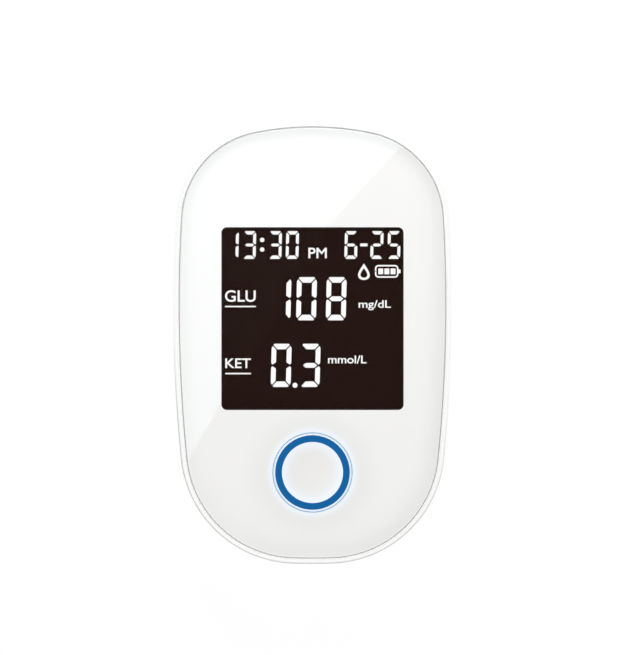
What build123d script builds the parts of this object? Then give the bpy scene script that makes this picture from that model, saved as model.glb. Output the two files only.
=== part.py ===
from build123d import *
from math import cos, hypot, pi, radians, sin, sqrt
import os

# Hand-held blood glucose meter, lying on its back. Millimetres, +Z out of the display, +Y towards the
# end that takes the test strip, +X to the right. The origin is the middle of the flat back.

# Outline of the housing seen from the front: five tangent arcs a side, mirrored in X = 0
body_length = 80.0
body_width = 50.4
body_height = 16.0
widest_station = 6.9
top_radius = 53.5
shoulder_radius = 17.5
side_radius = 278.0
hip_radius = 21.0
bottom_radius = 121.0

# Two housing shells, which meet on a lip behind a shadow line
shell_wall = 1.7
parting_height = 9.4
shadow_gap = 0.25
back_edge_radius = 6.0
lip_wall = 0.75
lip_height = 1.2
lip_clearance = 0.1
rim_width = 1.1
rim_land = 0.25
rim_round = 0.12
rim_step = 0.05
deck_thickness = 1.4
core_overlap = 1.0

# Glossy face panel, flat in the middle and rolled down in a band along its edge
panel_thickness = 1.4
panel_gap = 0.15
pillow_band = 7.0
pillow_drop = 0.7
panel_edge_round = 0.25
tape_thickness = 0.15
tape_setback = 0.5

# Smoked window, with a hidden flange behind the panel
window_width = 32.8
window_height = 32.9
window_corner = 1.0
window_station = 4.3
window_gap = 0.06
window_flange = 1.4
window_flange_thickness = 0.7
aperture_margin = 0.3

# Display stack between the deck and the board
gasket_thickness = 0.3
gasket_width = 0.9
polarizer_thickness = 0.2
glass_thickness = 0.7
glass_margin = 1.6
glass_corner = 0.3
contact_ledge = 2.2
light_guide_thickness = 1.2
light_guide_setback = 0.5
backlight_led_space = 1.3
holder_floor = 0.8
holder_floor_width = 2.4
holder_wall = 1.0
holder_gap = 0.1
zebra_width = 1.5
zebra_setback = 2.0

# Circuit board and what is soldered to it
board_thickness = 1.0
board_setback = 3.6
led_length = 1.6
led_width = 0.8
led_height = 0.6
backlight_led_count = 3
backlight_led_pitch = 10.0
button_led_count = 4
button_led_radius = 8.6
processor_size = 9.0
processor_height = 1.2
processor_place = (-14.0, 18.0)
memory_length = 5.0
memory_width = 4.0
memory_height = 1.3
memory_place = (-16.8, -12.0)
crystal_length = 6.0
crystal_radius = 0.8
crystal_place = (-17.0, 0.0)
radio_length = 12.0
radio_width = 7.0
radio_height = 1.5
radio_place = (16.8, -5.0)
buzzer_size = 9.0
buzzer_height = 2.4
buzzer_place = (14.0, 18.0)
sound_hole_radius = 0.5
sound_hole_pitch = 2.0
sound_hole_count = 3

# Push button with its inlaid ring and the lit sleeve round it
button_drop = 27.7
button_radius = 6.9
button_proud = 0.15
button_dish = 0.4
button_edge_round = 0.15
button_wall = 1.2
button_flange_width = 1.0
button_flange_thickness = 1.0
button_travel = 0.5
button_clearance = 0.08
button_stem_radius = 1.6
button_lug_count = 3
button_lug_width = 2.0
button_lug_reach = 0.9
button_lug_gap = 0.15
ring_inner_radius = 5.5
ring_width = 1.22
ring_depth = 0.8
sleeve_wall = 0.22
sleeve_flange = 1.4
sleeve_step = 0.55
sleeve_step_height = 0.5
sleeve_gap = 0.05
sleeve_sunk = 0.25
button_rest_gap = 0.1

# Switch under the button
switch_size = 5.2
switch_height = 1.6
plunger_radius = 1.3
plunger_clearance = 0.05
plunger_proud = 0.65
plunger_float = 0.05

# Battery bay, with two coin cells one above the other
cell_radius = 10.0
cell_thickness = 3.2
cell_cap_radius = 8.8
cell_cap_height = 0.3
cell_edge_round = 0.4
cell_pitch = 20.6
cell_setback = 15.0
cell_lift = 0.2
bay_clearance = 0.35
bay_wall = 1.2
bay_neck_width = 14.0
bay_leaf_space = 0.6
bay_roof = 0.9
rib_thickness = 0.9
rib_height = 5.0
rib_count = 3
contact_width = 4.0
contact_sheet = 0.25
contact_slot_gap = 0.3
contact_touch_gap = 0.02
contact_bend = 0.5
leaf_foot = 6.0
leaf_reach = 3.0
leaf_tip = 1.5
clip_shoulder = 1.6
clip_drop = 0.35
clip_tip_flare = 0.45
clip_tip_drop = 0.25

# Battery door, which slides off towards -Y on side tongues
door_width = 24.7
door_overlap = 0.9
door_thickness = 1.5
door_gap = 0.15
door_roof_gap = 0.25
door_end_height = 6.5
door_tongue = 0.85
door_tongue_sole = 0.85
door_tongue_clearance = 0.1
door_frame_wall = 1.2
door_frame_roof = 1.15
grip_count = 5
grip_pitch = 1.4
grip_width = 0.6
grip_depth = 0.35
grip_length = 10.0
grip_station = 1.0
detent_radius = 0.6
detent_height = 0.18

# Screws from the back, through the board, into the front cover
screw_radius = 1.0
screw_length = 8.0
screw_head_radius = 1.9
screw_head_height = 1.4
screw_slot = 0.5
screw_slot_depth = 0.7
screw_clearance = 0.15
thread_clearance = 0.02
screw_seat_depth = 4.2
back_boss_radius = 2.7
front_boss_radius = 2.3
upper_screw_offset = 15.0
upper_screw_gap = 1.05
lower_screw_offset = 16.0
lower_screw_setback = 13.0

# Test-strip port and the connector behind it
strip_width = 6.6
strip_channel_height = 0.8
strip_drop = 1.4
connector_width = 10.8
connector_length = 10.8
connector_height = 2.6
connector_wall = 1.2
guide_nose_width = 10.2
guide_nose_height = 2.5
guide_mouth_width = 8.6
guide_mouth_height = 1.7
guide_flange = 0.8
guide_nose_corner = 1.1
guide_gap = 0.08
guide_sunk = 0.12
terminal_count = 3
terminal_pitch = 0.7
terminal_width = 0.35
terminal_sheet = 0.15
terminal_slot_gap = 0.06
terminal_first = 1.55
terminal_tail = 1.0
terminal_foot = 1.5
terminal_touch = 5.2
terminal_reach = 7.0
terminal_tip_drop = 0.5
terminal_bend = 0.4
terminal_press = 0.25

# Strip ejector: thumb slide on the back, neck, carriage, return spring and finger
ejector_travel = 5.0
thumb_width = 11.0
thumb_length = 8.0
thumb_thickness = 1.1
thumb_sunk = 0.2
thumb_gap = 0.3
thumb_setback = 19.6
thumb_corner = 1.2
thumb_bay_corner = 1.5
thumb_rib_count = 4
thumb_rib_length = 7.2
thumb_rib_pitch = 1.5
thumb_rib_width = 0.5
thumb_rib_depth = 0.3
slide_clearance = 0.1
neck_width = 3.2
neck_length = 5.0
track_floor = 1.3
track_wall = 1.1
carriage_width = 9.6
carriage_thickness = 1.1
carriage_tail = 5.0
finger_width = 1.8
finger_slot_gap = 0.2
finger_length = 2.0
finger_setback = 11.7
tower_thickness = 1.5
tower_width = 4.4
bridge_wall = 1.0
spring_gap = 0.2
spring_wire = 0.32
spring_turns = 5
spring_peg_share = 0.6
spring_peg_length = 0.9

# Heights of the stack, worked down from the face and up from the back
panel_back_z = body_height - panel_thickness
recess_z = panel_back_z - tape_thickness
deck_z = recess_z - deck_thickness
rim_z = body_height - pillow_drop - rim_step
front_lip_z = parting_height + shadow_gap
polarizer_top_z = deck_z - gasket_thickness
glass_top_z = polarizer_top_z - polarizer_thickness
glass_mid_z = glass_top_z - glass_thickness
glass_back_z = glass_mid_z - glass_thickness
light_guide_back_z = glass_back_z - light_guide_thickness
board_top_z = light_guide_back_z - holder_floor
board_back_z = board_top_z - board_thickness
strip_z = board_back_z - strip_drop
cell_z = door_thickness + cell_lift
bay_roof_z = cell_z + cell_thickness + bay_leaf_space
door_roof_z = door_thickness + door_roof_gap
thumb_floor_z = thumb_sunk + thumb_thickness + slide_clearance
track_z = thumb_floor_z + track_floor
carriage_z = track_z + slide_clearance
carriage_top_z = carriage_z + carriage_thickness
finger_top_z = strip_z + strip_channel_height / 2 - slide_clearance

# Sizes that follow from a neighbour and a clearance
panel_inset = rim_width + panel_gap
front_core_inset = panel_inset + pillow_band + 1.5 * core_overlap
back_core_inset = back_edge_radius + 2.5 * core_overlap
button_station = window_station - button_drop
lower_cell_station = cell_setback - body_length / 2
upper_cell_station = lower_cell_station + cell_pitch
bay_radius = cell_radius + bay_clearance
door_top_station = upper_cell_station + bay_radius + door_overlap
thumb_station = body_length / 2 - thumb_setback
finger_station = body_length / 2 - finger_setback
sleeve_inner_radius = button_radius + button_clearance
sleeve_outer_radius = sleeve_inner_radius + sleeve_wall
sleeve_flange_radius = sleeve_outer_radius + sleeve_flange
aperture_width = window_width + 2 * aperture_margin
aperture_height = window_height + 2 * aperture_margin
glass_width = window_width + 2 * glass_margin
glass_height = window_height + 2 * glass_margin
display_top_station = window_station + glass_height / 2 + contact_ledge + holder_gap + holder_wall
upper_screw_station = display_top_station + front_boss_radius + upper_screw_gap
lower_screw_station = lower_screw_setback - body_length / 2
door_frame_half_width = door_width / 2 + door_gap + door_tongue + door_tongue_clearance + door_frame_wall
connector_front = body_length / 2 - board_setback - holder_gap
connector_back = connector_front - connector_length


def box(x0, x1, y0, y1, z0, z1):
    """A block between two corners."""
    return Pos((x0 + x1) / 2, (y0 + y1) / 2, (z0 + z1) / 2) * Box(x1 - x0, y1 - y0, z1 - z0)


def rod(x, y, radius, z0, z1):
    """An upright cylinder between two heights."""
    return Pos(x, y, (z0 + z1) / 2) * Cylinder(radius, z1 - z0)


def pad(x, y, width, length, corner, z0, z1):
    """An upright block with rounded corners."""
    return Pos(x, y, z0) * extrude(RectangleRounded(width, length, corner), z1 - z0)


def across_y(y, z):
    """A sketch plane that faces +Y, with its middle on X = 0."""
    return Plane(origin=(0, y, z), x_dir=(-1, 0, 0), z_dir=(0, 1, 0))


def mirrored(shape):
    """A shape and its mirror image in X = 0."""
    return shape + mirror(shape, Plane.YZ)


def meeting_point(centre_a, radius_a, centre_b, radius_b):
    """The crossing of two circles that lies furthest towards +X."""
    dx, dy = centre_b[0] - centre_a[0], centre_b[1] - centre_a[1]
    gap = hypot(dx, dy)
    along = (radius_a**2 - radius_b**2 + gap**2) / (2 * gap)
    across = sqrt(radius_a**2 - along**2)
    foot = (centre_a[0] + along * dx / gap, centre_a[1] + along * dy / gap)
    crossings = [(foot[0] + s * across * dy / gap, foot[1] - s * across * dx / gap) for s in (1, -1)]
    return max(crossings)


def on_circle(centre, radius, towards):
    """The point of a circle that lies in the direction of another point."""
    dx, dy = towards[0] - centre[0], towards[1] - centre[1]
    reach = hypot(dx, dy)
    return centre[0] + radius * dx / reach, centre[1] + radius * dy / reach


def outline(inset=0.0):
    """The housing's closed outline at Z = 0, moved inwards by an inset."""
    half_length, half_width = body_length / 2 - inset, body_width / 2 - inset
    crown, shoulder, side, hip, base = (
        r - inset for r in (top_radius, shoulder_radius, side_radius, hip_radius, bottom_radius)
    )
    crown_centre = (0.0, half_length - crown)
    side_centre = (half_width - side, widest_station)
    base_centre = (0.0, base - half_length)
    shoulder_centre = meeting_point(crown_centre, crown - shoulder, side_centre, side - shoulder)
    hip_centre = meeting_point(base_centre, base - hip, side_centre, side - hip)
    ends = [
        (0.0, half_length),
        on_circle(crown_centre, crown, shoulder_centre),
        on_circle(side_centre, side, shoulder_centre),
        on_circle(side_centre, side, hip_centre),
        on_circle(base_centre, base, hip_centre),
        (0.0, -half_length),
    ]
    circles = [
        (crown_centre, crown),
        (shoulder_centre, shoulder),
        (side_centre, side),
        (hip_centre, hip),
        (base_centre, base),
    ]
    right, left = [], []
    for (centre, radius), start, end in zip(circles, ends, ends[1:]):
        middle = on_circle(centre, radius, ((start[0] + end[0]) / 2, (start[1] + end[1]) / 2))
        right.append(ThreePointArc(start, middle, end))
        left.append(ThreePointArc(*((-x, y) for x, y in (end, middle, start))))
    return Wire(right + left[::-1])


def outline_prism(inset, z0, z1):
    """The filled outline at an inset, between two heights."""
    return Pos(0, 0, z0) * extrude(Face(outline(inset)), amount=z1 - z0, dir=(0, 0, 1))


def station(inset, z):
    """A point of the housing's section at its +Y end, given as an inset from the outline and a height."""
    return 0, body_length / 2 - inset, z


def swept_section(edges, rounds=()):
    """A closed section, drawn with station() and carried round the outline, with rounded corners as
    (inset, z, radius)."""
    section = Face(Wire(edges))
    for inset, z, radius in rounds:
        corner = min(section.vertices(), key=lambda v: (Vector(*station(inset, z)) - Vector(v)).length)
        section = section.fillet_2d(radius, [corner])
    return sweep(section, path=outline())


def roll_radius(width, drop):
    """The radius of an arc that leaves a straight run tangentially and falls by drop over width."""
    return (width**2 + drop**2) / (2 * drop)


def back_body(offset, top):
    """The filled lower half of the housing up to a height, its outside moved inwards by an offset."""
    bend = back_edge_radius
    arc_middle = bend - (bend - offset) * sin(radians(45))
    edges = [
        Line(station(offset, top), station(offset, bend)),
        ThreePointArc(station(offset, bend), station(arc_middle, arc_middle), station(bend, offset)),
        Line(station(bend, offset), station(back_core_inset, offset)),
        Line(station(back_core_inset, offset), station(back_core_inset, top)),
        Line(station(back_core_inset, top), station(offset, top)),
    ]
    return swept_section(edges) + outline_prism(back_core_inset - core_overlap, offset, top)


def screw_places():
    """The four screws' places in plan."""
    pairs = ((upper_screw_offset, upper_screw_station), (lower_screw_offset, lower_screw_station))
    return [(side * x, y) for x, y in pairs for side in (-1, 1)]


def front_cover():
    """The upper shell: leaning side wall, rim, sunk deck for the face panel, button seat and bosses."""
    lean = rim_width - rim_land
    rise = rim_z - front_lip_z
    bend = roll_radius(rise, lean)

    def wall_inset(depth, z):
        """The inset of the leaning wall's surface at a height, at a depth into the wall."""
        return bend - sqrt((bend - depth) ** 2 - (z - front_lip_z) ** 2)

    half_lip = shell_wall - lip_wall - lip_clearance
    groove_z = parting_height + lip_height + lip_clearance
    middle_z = (rim_z + front_lip_z) / 2
    inner_middle_z = (deck_z + groove_z) / 2
    inner_middle = station(wall_inset(shell_wall, inner_middle_z), inner_middle_z)
    outer_foot = station(0, front_lip_z)
    outer_head = station(lean, rim_z)
    rim_corner = station(rim_width, rim_z)
    recess_corner = station(rim_width, recess_z)
    deck_top = station(front_core_inset, recess_z)
    deck_bottom = station(front_core_inset, deck_z)
    inner_head = station(wall_inset(shell_wall, deck_z), deck_z)
    inner_foot = station(wall_inset(shell_wall, groove_z), groove_z)
    groove_corner = station(half_lip, groove_z)
    lip_foot = station(half_lip, front_lip_z)
    edges = [
        ThreePointArc(outer_foot, station(wall_inset(0, middle_z), middle_z), outer_head),
        Line(outer_head, rim_corner),
        Line(rim_corner, recess_corner),
        Line(recess_corner, deck_top),
        Line(deck_top, deck_bottom),
        Line(deck_bottom, inner_head),
        ThreePointArc(inner_head, inner_middle, inner_foot),
        Line(inner_foot, groove_corner),
        Line(groove_corner, lip_foot),
        Line(lip_foot, outer_foot),
    ]
    cover = swept_section(edges, rounds=[(lean, rim_z, rim_round), (rim_width, rim_z, rim_round)])
    cover += outline_prism(front_core_inset - core_overlap, deck_z, recess_z)
    for x, y in screw_places():
        cover += rod(x, y, front_boss_radius, board_top_z, deck_z + deck_thickness / 2)
    for x, y in screw_places():
        tip_z = screw_seat_depth + screw_length + thread_clearance
        cover -= rod(x, y, screw_radius + thread_clearance, board_top_z, tip_z)
    corner = window_corner + aperture_margin
    cover -= pad(0, window_station, aperture_width, aperture_height, corner, deck_z, recess_z)
    step_z = deck_z + sleeve_step_height
    seat_radius = sleeve_flange_radius + sleeve_gap
    cover -= rod(0, button_station, seat_radius - sleeve_step, deck_z, step_z)
    cover -= rod(0, button_station, seat_radius, step_z, recess_z)
    return cover - button_lugs(button_lug_gap, deck_z, step_z)


def face_panel():
    """The glossy panel: rolled edge band, window opening with a rebate behind it, and the button's hole."""
    bend = roll_radius(pillow_band, pillow_drop)
    edge_z = body_height - pillow_drop
    band_inset = panel_inset + pillow_band
    half_run = pillow_band / 2
    middle = station(band_inset - half_run, body_height - bend + sqrt(bend**2 - half_run**2))
    edges = [
        Line(station(front_core_inset, body_height), station(band_inset, body_height)),
        ThreePointArc(station(band_inset, body_height), middle, station(panel_inset, edge_z)),
        Line(station(panel_inset, edge_z), station(panel_inset, panel_back_z)),
        Line(station(panel_inset, panel_back_z), station(front_core_inset, panel_back_z)),
        Line(station(front_core_inset, panel_back_z), station(front_core_inset, body_height)),
    ]
    panel = swept_section(edges, rounds=[(panel_inset, edge_z, panel_edge_round)])
    panel += outline_prism(front_core_inset - core_overlap, panel_back_z, body_height)
    panel -= window_block(window_gap, window_gap)
    panel -= rod(0, button_station, sleeve_outer_radius + sleeve_gap, panel_back_z, body_height)
    return panel


def window_block(growth=0.0, flange_rise=0.0):
    """The window's stepped block, or the opening that it fits when grown."""
    flange_z = panel_back_z + window_flange_thickness + flange_rise
    wide = 2 * (window_flange + growth)
    visible = pad(
        0,
        window_station,
        window_width - 2 * window_gap + 2 * growth,
        window_height - 2 * window_gap + 2 * growth,
        window_corner,
        panel_back_z,
        body_height,
    )
    corner = window_corner + window_flange
    return visible + pad(
        0, window_station, window_width + wide, window_height + wide, corner, panel_back_z, flange_z
    )


def panel_tape():
    """The adhesive sheet that bonds the panel and the window's flange to the deck."""
    corner = window_corner + aperture_margin
    tape = outline_prism(panel_inset + tape_setback, recess_z, panel_back_z)
    tape -= pad(0, window_station, aperture_width, aperture_height, corner, recess_z, panel_back_z)
    return tape - rod(0, button_station, sleeve_outer_radius + sleeve_gap, recess_z, panel_back_z)


def back_cover():
    """The lower shell: rounded tub with a lip, battery bay, door frame, bosses, port and ejector track."""
    whole = back_body(0, parting_height)
    cover = whole - back_body(shell_wall, parting_height)
    lip = outline_prism(shell_wall - lip_wall, parting_height - core_overlap, parting_height + lip_height)
    cover += lip - outline_prism(shell_wall, parting_height - core_overlap, parting_height + lip_height)
    cover += door_frame(whole)
    cover += bay_walls()
    cover += stiffening_ribs(whole)
    for x, y in screw_places():
        cover += whole & rod(x, y, back_boss_radius, 0, board_back_z)
    cover += ejector_track()
    cover -= door_cavity(whole)
    cover -= bay_space()
    cover -= contact_slots()
    for x, y in screw_places():
        cover -= rod(x, y, screw_head_radius + screw_clearance, 0, screw_seat_depth)
        cover -= rod(x, y, screw_radius + screw_clearance, screw_seat_depth, board_back_z)
    cover -= ejector_openings()
    cover -= guide_nose(guide_gap, body_length / 2 - 2 * shell_wall, body_length / 2)
    for i in range(sound_hole_count):
        offset = (i - (sound_hole_count - 1) / 2) * sound_hole_pitch
        cover -= rod(buzzer_place[0] + offset, buzzer_place[1], sound_hole_radius, 0, shell_wall)
    return cover


def door_frame(whole):
    """The rails and roof round the battery door, and the skin behind the door's curled end."""
    top = door_top_station + door_gap + door_frame_wall
    roof_z = door_roof_z + door_frame_roof
    half = door_frame_half_width
    frame = whole & box(-half, half, -body_length / 2, top, 0, roof_z)
    skin_reach = back_edge_radius + 2 * door_frame_roof
    skin = back_body(door_roof_z, parting_height) - back_body(door_roof_z + door_frame_roof, parting_height)
    end = box(-half, half, -body_length / 2, skin_reach - body_length / 2, 0, parting_height)
    return frame + (skin & end)


def door_cavity(whole):
    """The space that the battery door fills, with its gaps, and the tongues' grooves, open at the -Y end."""
    half = door_width / 2 + door_gap
    reach = -body_length / 2 - 1
    region = box(-half, half, reach, door_top_station + door_gap, 0, door_end_height + door_gap)
    cavity = (whole - back_body(door_roof_z, parting_height)) & region
    groove_half = half + door_tongue + door_tongue_clearance
    sole_z = door_tongue_sole - door_tongue_clearance
    return cavity + box(-groove_half, groove_half, reach, door_top_station + door_gap, sole_z, door_roof_z)


def bay_plan(growth, z0, z1):
    """Two round nests for the cells joined by a neck, grown by a margin, between two heights."""
    nests = rod(0, upper_cell_station, bay_radius + growth, z0, z1)
    nests += rod(0, lower_cell_station, bay_radius + growth, z0, z1)
    half_neck = bay_neck_width / 2 + growth
    return nests + box(-half_neck, half_neck, lower_cell_station, upper_cell_station, z0, z1)


def bay_walls():
    """The battery bay's walls and roof, filled."""
    return bay_plan(bay_wall, door_roof_z, bay_roof_z + bay_roof)


def stiffening_ribs(whole):
    """Low ribs across the floor beside the battery bay, half-way between the cells' contacts."""
    middle = (upper_cell_station + lower_cell_station) / 2
    slab = Pos(0, 0, rib_height / 2) * Box(body_width, rib_thickness, rib_height)
    ribs = []
    for i in range(rib_count):
        ribs.append(whole & Pos(0, middle + (i - (rib_count - 1) / 2) * cell_pitch, 0) * slab)
    return ribs


def bay_space():
    """The inside of the battery bay."""
    return bay_plan(0, door_roof_z, bay_roof_z)


def contact_slots():
    """Slots in the bay for the leaf springs, through the roof, and the side clips, through the walls."""
    half = contact_width / 2 + contact_slot_gap
    half_sheet = contact_sheet + contact_slot_gap
    roof_top = bay_roof_z + bay_roof
    clip_foot = door_roof_z + door_frame_roof
    slots = []
    for y in (upper_cell_station, lower_cell_station):
        leaf_y = y + leaf_foot
        slots.append(box(-half, half, leaf_y - half_sheet, leaf_y + half_sheet, bay_roof_z, roof_top))
        slots.append(box(cell_radius, bay_radius + 2 * bay_wall, y - half, y + half, clip_foot, roof_top))
    return slots


def bent_strip(points, bends, width, sheet, plane):
    """A strip of sheet metal bent along a path of points in a plane, centred across the plane."""
    path = FilletPolyline(*(plane.from_local_coords(p) for p in points), radius=bends)
    section = Plane(origin=path @ 0, x_dir=plane.z_dir, z_dir=path % 0) * Rectangle(width, sheet)
    return sweep(section, path=path)


def cell_leaf_springs():
    """A leaf spring over each cell, from the board through the bay's roof down to the cell's cap."""
    springs = []
    reach_z = bay_roof_z - contact_sheet
    for y in (upper_cell_station, lower_cell_station):
        points = [
            (y + leaf_foot, board_back_z),
            (y + leaf_foot, reach_z),
            (y + leaf_reach, reach_z),
            (y - leaf_reach, cell_z + cell_thickness + contact_sheet / 2),
            (y - leaf_reach - leaf_tip, reach_z),
        ]
        springs.append(bent_strip(points, contact_bend, contact_width, contact_sheet, Plane.YZ))
    return Compound(springs)


def cell_side_clips():
    """A clip beside each cell, from the board down past the bay's wall to press on the cell's rim."""
    clips = []
    touch = cell_radius + contact_sheet / 2 + contact_touch_gap
    outside = bay_radius + bay_wall
    cell_middle = cell_z + cell_thickness / 2
    for y in (upper_cell_station, lower_cell_station):
        points = [
            (outside, board_back_z),
            (outside, cell_middle + clip_shoulder),
            (touch, cell_middle + clip_drop),
            (touch + clip_tip_flare, cell_middle - clip_tip_drop),
        ]
        plane = Plane(origin=(0, y, 0), x_dir=(1, 0, 0), z_dir=(0, -1, 0))
        clips.append(bent_strip(points, contact_bend, contact_width, contact_sheet, plane))
    return Compound(clips)


def coin_cell(y):
    """A coin cell, its can towards the door and its smaller cap towards the board."""
    can_top = cell_thickness - cell_cap_height
    can = rod(0, y, cell_radius, cell_z, cell_z + can_top)
    can = fillet(can.edges().group_by(Axis.Z)[0], cell_edge_round)
    return can + rod(0, y, cell_cap_radius, cell_z + can_top, cell_z + cell_thickness)


def battery_door():
    """The door: flat plate that curls up at the -Y end, side tongues, grip grooves and a detent bump."""
    half = door_width / 2
    whole = back_body(0, parting_height)
    skin = whole - back_body(door_thickness, parting_height)
    door = skin & box(-half, half, -body_length / 2, door_top_station, 0, door_end_height)
    tongue = half + door_tongue
    door += whole & box(-tongue, tongue, -body_length / 2, door_top_station, door_tongue_sole, door_thickness)
    for i in range(grip_count):
        y = grip_station + (i - (grip_count - 1) / 2) * grip_pitch
        door -= box(-grip_length / 2, grip_length / 2, y - grip_width / 2, y + grip_width / 2, 0, grip_depth)
    bump_y = door_top_station - 2 * detent_radius
    return door + rod(0, bump_y, detent_radius, door_thickness, door_thickness + detent_height)


def case_screws():
    """Four pan-head screws with a slot, one in each boss."""
    screws = []
    for x, y in screw_places():
        head_z = screw_seat_depth - screw_head_height
        head = rod(x, y, screw_head_radius, head_z, screw_seat_depth)
        reach = screw_head_radius
        slot = box(-reach, reach, -screw_slot / 2, screw_slot / 2, 0, screw_slot_depth)
        shank = rod(x, y, screw_radius, screw_seat_depth, screw_seat_depth + screw_length)
        screws.append(head - Pos(x, y, head_z) * slot + shank)
    return Compound(screws)


def guide_nose(growth, y0, y1):
    """The rounded block that the strip guide's nose fills, between two stations."""
    width, height = guide_nose_width + 2 * growth, guide_nose_height + 2 * growth
    nose = RectangleRounded(width, height, guide_nose_corner + growth)
    return extrude(across_y(y0, strip_z) * nose, amount=y1 - y0)


def strip_guide():
    """The port's bezel: nose in the end wall, flange behind it, and a mouth that narrows to the strip."""
    flange_half = guide_nose_width / 2 + guide_flange
    flange_back = connector_front + guide_gap
    top = strip_z + guide_nose_height / 2
    bottom = strip_z - guide_nose_height / 2 - guide_flange
    flange = box(-flange_half, flange_half, flange_back, body_length / 2, bottom, top)
    guide = flange & back_body(shell_wall + guide_gap, parting_height)
    guide += guide_nose(0, flange_back, body_length / 2) & back_body(guide_sunk, parting_height)
    mouth = loft(
        [
            across_y(body_length / 2, strip_z) * Rectangle(guide_mouth_width, guide_mouth_height),
            across_y(flange_back, strip_z) * Rectangle(strip_width, strip_channel_height),
        ]
    )
    return guide - mouth


def strip_connector():
    """The connector's housing under the board: strip channel, finger slot below and terminal slots above."""
    half = connector_width / 2
    channel_floor = strip_z - strip_channel_height / 2
    channel_roof = strip_z + strip_channel_height / 2
    base = board_back_z - connector_height
    housing = box(-half, half, connector_back, connector_front, base, board_back_z)
    half_strip = strip_width / 2
    channel_back = connector_back + connector_wall
    housing -= box(-half_strip, half_strip, channel_back, connector_front, channel_floor, channel_roof)
    slot = finger_width / 2 + finger_slot_gap
    slot_end = finger_station + ejector_travel + slide_clearance
    housing -= box(-slot, slot, connector_back, slot_end, base, channel_roof)
    for x in terminal_places():
        reach = terminal_width / 2 + terminal_slot_gap
        slot_front = connector_front - 2 * connector_wall
        housing -= box(x - reach, x + reach, connector_back, slot_front, channel_roof, board_back_z)
    return housing


def terminal_places():
    """The connector's terminals across the strip, clear of the ejector's finger."""
    side = [terminal_first + i * terminal_pitch for i in range(terminal_count)]
    return [-x for x in side] + side


def strip_terminals():
    """Bowed spring terminals in the connector, from solder tails on the board down to the strip."""
    terminals = []
    tail_z = board_back_z - terminal_sheet / 2
    touch_z = strip_z + strip_channel_height / 2 - terminal_press
    for x in terminal_places():
        points = [
            (connector_back - terminal_tail, tail_z),
            (connector_back + terminal_foot, tail_z),
            (connector_back + terminal_touch, touch_z),
            (connector_back + terminal_reach, tail_z - terminal_tip_drop),
        ]
        plane = Plane(origin=(x, 0, 0), x_dir=(0, 1, 0), z_dir=(1, 0, 0))
        terminals.append(bent_strip(points, terminal_bend, terminal_width, terminal_sheet, plane))
    return Compound(terminals)


def ejector_track():
    """The thickened floor under the ejector, its two rails and the bridge that the spring pushes against."""
    outer = track_outer_half()
    rail_inner = carriage_width / 2 + slide_clearance
    start = thumb_station - carriage_tail - track_wall
    end = thumb_bay_ends()[1] + track_wall
    track = box(-outer, outer, start, end, 0, track_z)
    rails = box(rail_inner, outer, start, end, track_z, carriage_top_z + slide_clearance)
    bridge_front = bridge_back() + bridge_wall
    bridge_foot = carriage_top_z + slide_clearance
    bridge = box(-outer, outer, bridge_back(), bridge_front, bridge_foot, finger_top_z)
    return track + mirrored(rails) + bridge + spring_peg(bridge_back(), -1)


def track_outer_half():
    """Half the width of the ejector's thickened floor."""
    return max(carriage_width, thumb_width + 2 * thumb_gap) / 2 + slide_clearance + track_wall


def thumb_bay_ends():
    """The two ends of the recess that the thumb slide travels in."""
    return (
        thumb_station - thumb_length / 2 - thumb_gap,
        thumb_station + thumb_length / 2 + thumb_gap + ejector_travel,
    )


def bridge_back():
    """The bridge's face towards -Y; the bridge stands just behind the connector."""
    return connector_back - 2 * slide_clearance - bridge_wall


def tower_front():
    """The carriage tower's face towards +Y, where the spring starts."""
    return thumb_station - carriage_tail + tower_thickness


def spring_axis_z():
    """The height of the ejector spring's axis, between the carriage and the finger's top."""
    return (carriage_top_z + slide_clearance + finger_top_z) / 2


def spring_radius():
    """The ejector spring's mean radius, from the room between the carriage and the finger's top."""
    room = finger_top_z - carriage_top_z - slide_clearance
    return room / 2 - spring_wire / 2 - spring_gap


def spring_peg(y, direction):
    """A peg that centres one end of the ejector spring."""
    peg = across_y(y, spring_axis_z()) * Circle(spring_peg_share * spring_radius())
    return extrude(peg, amount=direction * spring_peg_length)


def ejector_openings():
    """The recess for the thumb slide on the back, and the slot that its neck travels in."""
    y0, y1 = thumb_bay_ends()
    width = thumb_width + 2 * thumb_gap
    recess = pad(0, (y0 + y1) / 2, width, y1 - y0, thumb_bay_corner, 0, thumb_floor_z)
    half = neck_width / 2 + slide_clearance
    start = thumb_station - neck_length / 2 - slide_clearance
    end = thumb_station + neck_length / 2 + ejector_travel + slide_clearance
    return recess + box(-half, half, start, end, thumb_floor_z, track_z)


def ejector_slide():
    """Thumb pad, neck, carriage, spring tower and finger, moved as one."""
    top_z = thumb_sunk + thumb_thickness
    slide = pad(0, thumb_station, thumb_width, thumb_length, thumb_corner, thumb_sunk, top_z)
    half_rib = thumb_rib_width / 2
    reach = thumb_rib_length / 2
    for i in range(thumb_rib_count):
        y = thumb_station + (i - (thumb_rib_count - 1) / 2) * thumb_rib_pitch
        slide -= box(-reach, reach, y - half_rib, y + half_rib, thumb_sunk, thumb_sunk + thumb_rib_depth)
    neck_back, neck_front = thumb_station - neck_length / 2, thumb_station + neck_length / 2
    slide += box(-neck_width / 2, neck_width / 2, neck_back, neck_front, top_z, carriage_z)
    tail = thumb_station - carriage_tail
    half = carriage_width / 2
    slide += box(-half, half, tail, finger_station, carriage_z, carriage_top_z)
    slide += box(-tower_width / 2, tower_width / 2, tail, tower_front(), carriage_top_z, finger_top_z)
    slide += spring_peg(tower_front(), 1)
    half_finger = finger_width / 2
    finger_back = finger_station - finger_length
    return slide + box(-half_finger, half_finger, finger_back, finger_station, carriage_top_z, finger_top_z)


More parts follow.
